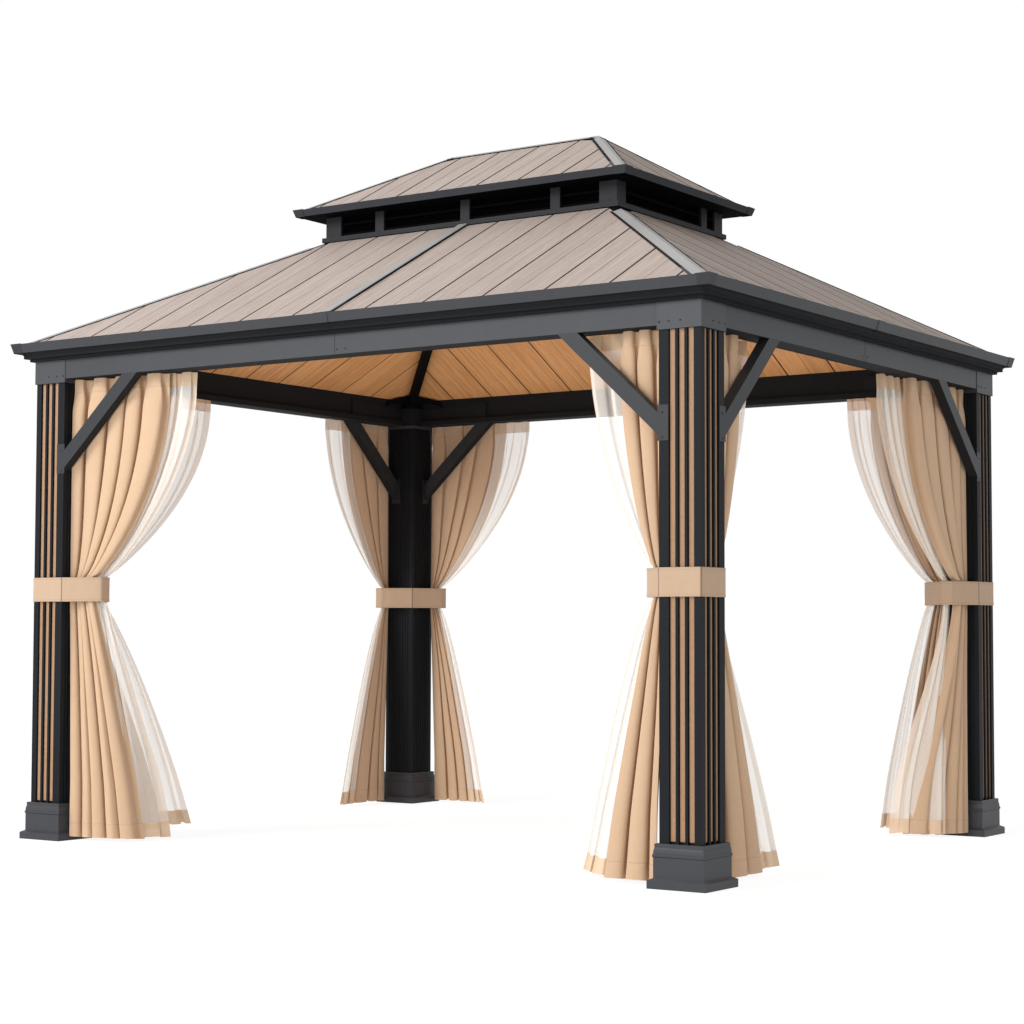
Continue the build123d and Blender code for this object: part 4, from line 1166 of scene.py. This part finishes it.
def tie_band(name, corner):
    """A flat fabric tie round a post and its two gathered cloths: the loop's outline carried upwards,
    moved out by slow waves over the cloth and by a thicker rolled edge at top and bottom. Its second
    map holds the distance from the nearest corner of the post, where the band creases and its material
    paints shade."""
    tucked = name == TUCKED
    start, depth = TUCKED_TIE if tucked else FREE_TIE
    x_waist, y_waist = [CLOTH_NEAR + net[1] + TIE_ROOM for _, net in CLOTH_REACH[name]]
    far = start + depth
    corners = [(POST_INSET, POST_FAR), (POST_INSET, POST_INSET), (POST_FAR, POST_INSET)]
    if tucked:
        outline = corners[1:] + [(x_waist, start), (x_waist, far), (POST_FAR, POST_FAR),
                                 (far, y_waist), (start, y_waist), corners[0]]
        corners += [(POST_FAR, POST_FAR)]
    else:
        outline = corners[1:] + [(x_waist - 0.050, start), (x_waist, start + 0.026), (x_waist, far),
                                 (far, y_waist), (start + 0.026, y_waist), (start, y_waist - 0.050),
                                 corners[0]]
    loop, at = rounded_loop(outline, 0.003, 0.008)
    normal = outward(loop)
    rise = np.linspace(0, 1, 15)
    edge = 0.0010 * (np.exp(-(rise / 0.08) ** 2) + np.exp(-((1 - rise) / 0.08) ** 2))
    wave = 0.0011 * np.sin(at * 2 * pi / 0.083) * np.sin(at * 2 * pi / 0.31 + 1.3)
    offset = 0.0036 + edge[:, None] + wave[None, :] * np.sin(pi * rise)[:, None]
    plan = loop[None, :, :] + normal[None, :, :] * offset[..., None]
    x, y = inward(corner, plan[..., 0], plan[..., 1])
    z = TIE_Z + (TIE_TOP - TIE_Z) * rise[:, None] + 0 * x
    points = np.stack([x, y, z], axis=-1)
    points = np.concatenate([points, points[:, :1]], axis=1)
    length = np.concatenate([at, [at[-1] + 0.004]])
    across, up = np.meshgrid(length, rise * (TIE_TOP - TIE_Z))
    uv = np.stack([across, up], axis=-1)
    away = np.min([np.hypot(loop[:, 0] - x, loop[:, 1] - y) for x, y in corners], axis=0)
    away = np.broadcast_to(np.concatenate([away, away[:1]]), up.shape)
    borders = np.stack([away, up], axis=-1)
    made = add_piece(f"tie_{name}", points, quads(grid_index(*up.shape)), tie_cloth, "tie_fabric",
                     uv=uv, borders=borders)
    thickness = made.modifiers.new("fabric", "SOLIDIFY")
    thickness.thickness = TIE_THICKNESS
    thickness.offset = 0.0
    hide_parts(f"tie_band_{name}")


for name, corner in CORNERS.items():
    tie_band(name, corner)

# Finishes of the metal and printed pieces that come from the frame, by the start of their names.
# Several are copies of one powder coat with painted shade or painted light.
FINISHES = {
    "upper_roof": shell_coat_painted_shade,
    "upper_eave": eave_coat_painted_shade,
    "roof_caps": cap_coat_painted_reflection,
    "roof": shell_coat_painted_shade,
    "post_infills": strip_print,
    "post_head": cover_coat_painted_light,
    "post": post_coat_painted_shade,
    "boot": frame_coat,
    "knee": brace_coat_painted_shade,
    "beam": frame_coat,
    "gutter": gutter_coat,
    "rafters": rafter_coat_painted_shade,
    "vent": vent_coat_painted_shade,
    "curtains": curtain_cloth,
    "tie": tie_cloth,
}
for name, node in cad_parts.items():
    finish = next(coat for start, coat in FINISHES.items() if name.startswith(start))
    if node.material_slots:
        node.material_slots[0].material = finish
    else:
        node.data.materials.append(finish)


def make_floor():
    """A wide pale floor. Seen directly it adds plain white to a little of its own light, so that it
    shows white and keeps a soft shadow. The rest of the scene sees a pale floor with a weak light of
    its own, which stands for the bright ground all round."""
    mesh = bpy.data.meshes.new("floor")
    corners = [(x * FLOOR_HALF, y * FLOOR_HALF, 0) for x, y in ((-1, -1), (1, -1), (1, 1), (-1, 1))]
    mesh.from_pydata(corners, [], [(0, 1, 2, 3)])
    floor = new_object("floor", mesh)
    made = bpy.data.materials.new("pale_floor")
    t = empty_tree(made)
    seen = t.seen()
    (tone, level), (seen_tone, seen_level) = UNSEEN_FLOOR, SEEN_FLOOR
    shade = t.mix(seen, (tone, tone, tone, 1), (seen_tone, seen_tone, seen_tone, 1))
    plain = t.node("ShaderNodeBsdfDiffuse", {"Color": shade})
    strength = t.blend(seen, level, seen_level)
    glow = t.node("ShaderNodeEmission", {"Color": (1, 1, 1, 1), "Strength": strength})
    surface = t.node("ShaderNodeAddShader", {0: plain.outputs[0], 1: glow.outputs[0]})
    t.node("ShaderNodeOutputMaterial", {"Surface": surface.outputs[0]})
    mesh.materials.append(made)


def make_world():
    """White where it is seen, and an even soft light elsewhere."""
    world = bpy.data.worlds.new("studio")
    bpy.context.scene.world = world
    t = empty_tree(world)
    level = t.blend(t.seen(), UNSEEN_WORLD, SEEN_WORLD)
    background = t.node("ShaderNodeBackground", {"Color": (1, 1, 1, 1), "Strength": level})
    t.node("ShaderNodeOutputWorld", {"Surface": background.outputs[0]})


def turn_to(made, place, right, up, back):
    """Places an object, with its own X, Y and Z along right, up and back."""
    turned = np.eye(4)
    turned[:3, :3] = np.column_stack([right, up, back])
    turned[:3, 3] = place
    made.matrix_world = Matrix(turned.tolist())


def add_softbox(name, place, target, size, power):
    """A square area lamp that faces a target."""
    lamp = bpy.data.lights.new(name, "AREA")
    lamp.size = size
    lamp.energy = power
    back = unit(np.array(place, float) - np.array(target, float))
    right = unit(np.cross((0, 0, 1.0), back))
    turn_to(new_object(name, lamp), place, right, np.cross(back, right), back)


def make_camera():
    """The photograph's camera, turned by its yaw, pitch and roll."""
    lens = bpy.data.cameras.new("camera")
    lens.lens = LENS
    lens.sensor_width = 36.0
    lens.clip_end = 200.0
    camera = new_object("camera", lens)
    ahead = np.array([-sin(CAMERA_YAW) * cos(CAMERA_PITCH), cos(CAMERA_YAW) * cos(CAMERA_PITCH),
                      sin(CAMERA_PITCH)])
    level = np.array([cos(CAMERA_YAW), sin(CAMERA_YAW), 0.0])
    above = np.cross(level, ahead)
    right = cos(CAMERA_ROLL) * level + sin(CAMERA_ROLL) * above
    up = -sin(CAMERA_ROLL) * level + cos(CAMERA_ROLL) * above
    turn_to(camera, CAMERA_PLACE, right, up, -ahead)
    bpy.context.scene.camera = camera


make_floor()
make_world()
add_softbox("key_softbox", (-6.0, -10.0, 6.8), (0, 0, 1.4), 4.5, 860)
add_softbox("low_softbox", (-1.0, -13.0, 2.2), (0, 0, 1.5), 4.0, 420)
add_softbox("fill_softbox", (9.0, -5.0, 5.0), (0, 0, 1.4), 6.0, 110)
make_camera()

bpy.context.scene.view_settings.view_transform = "Standard"
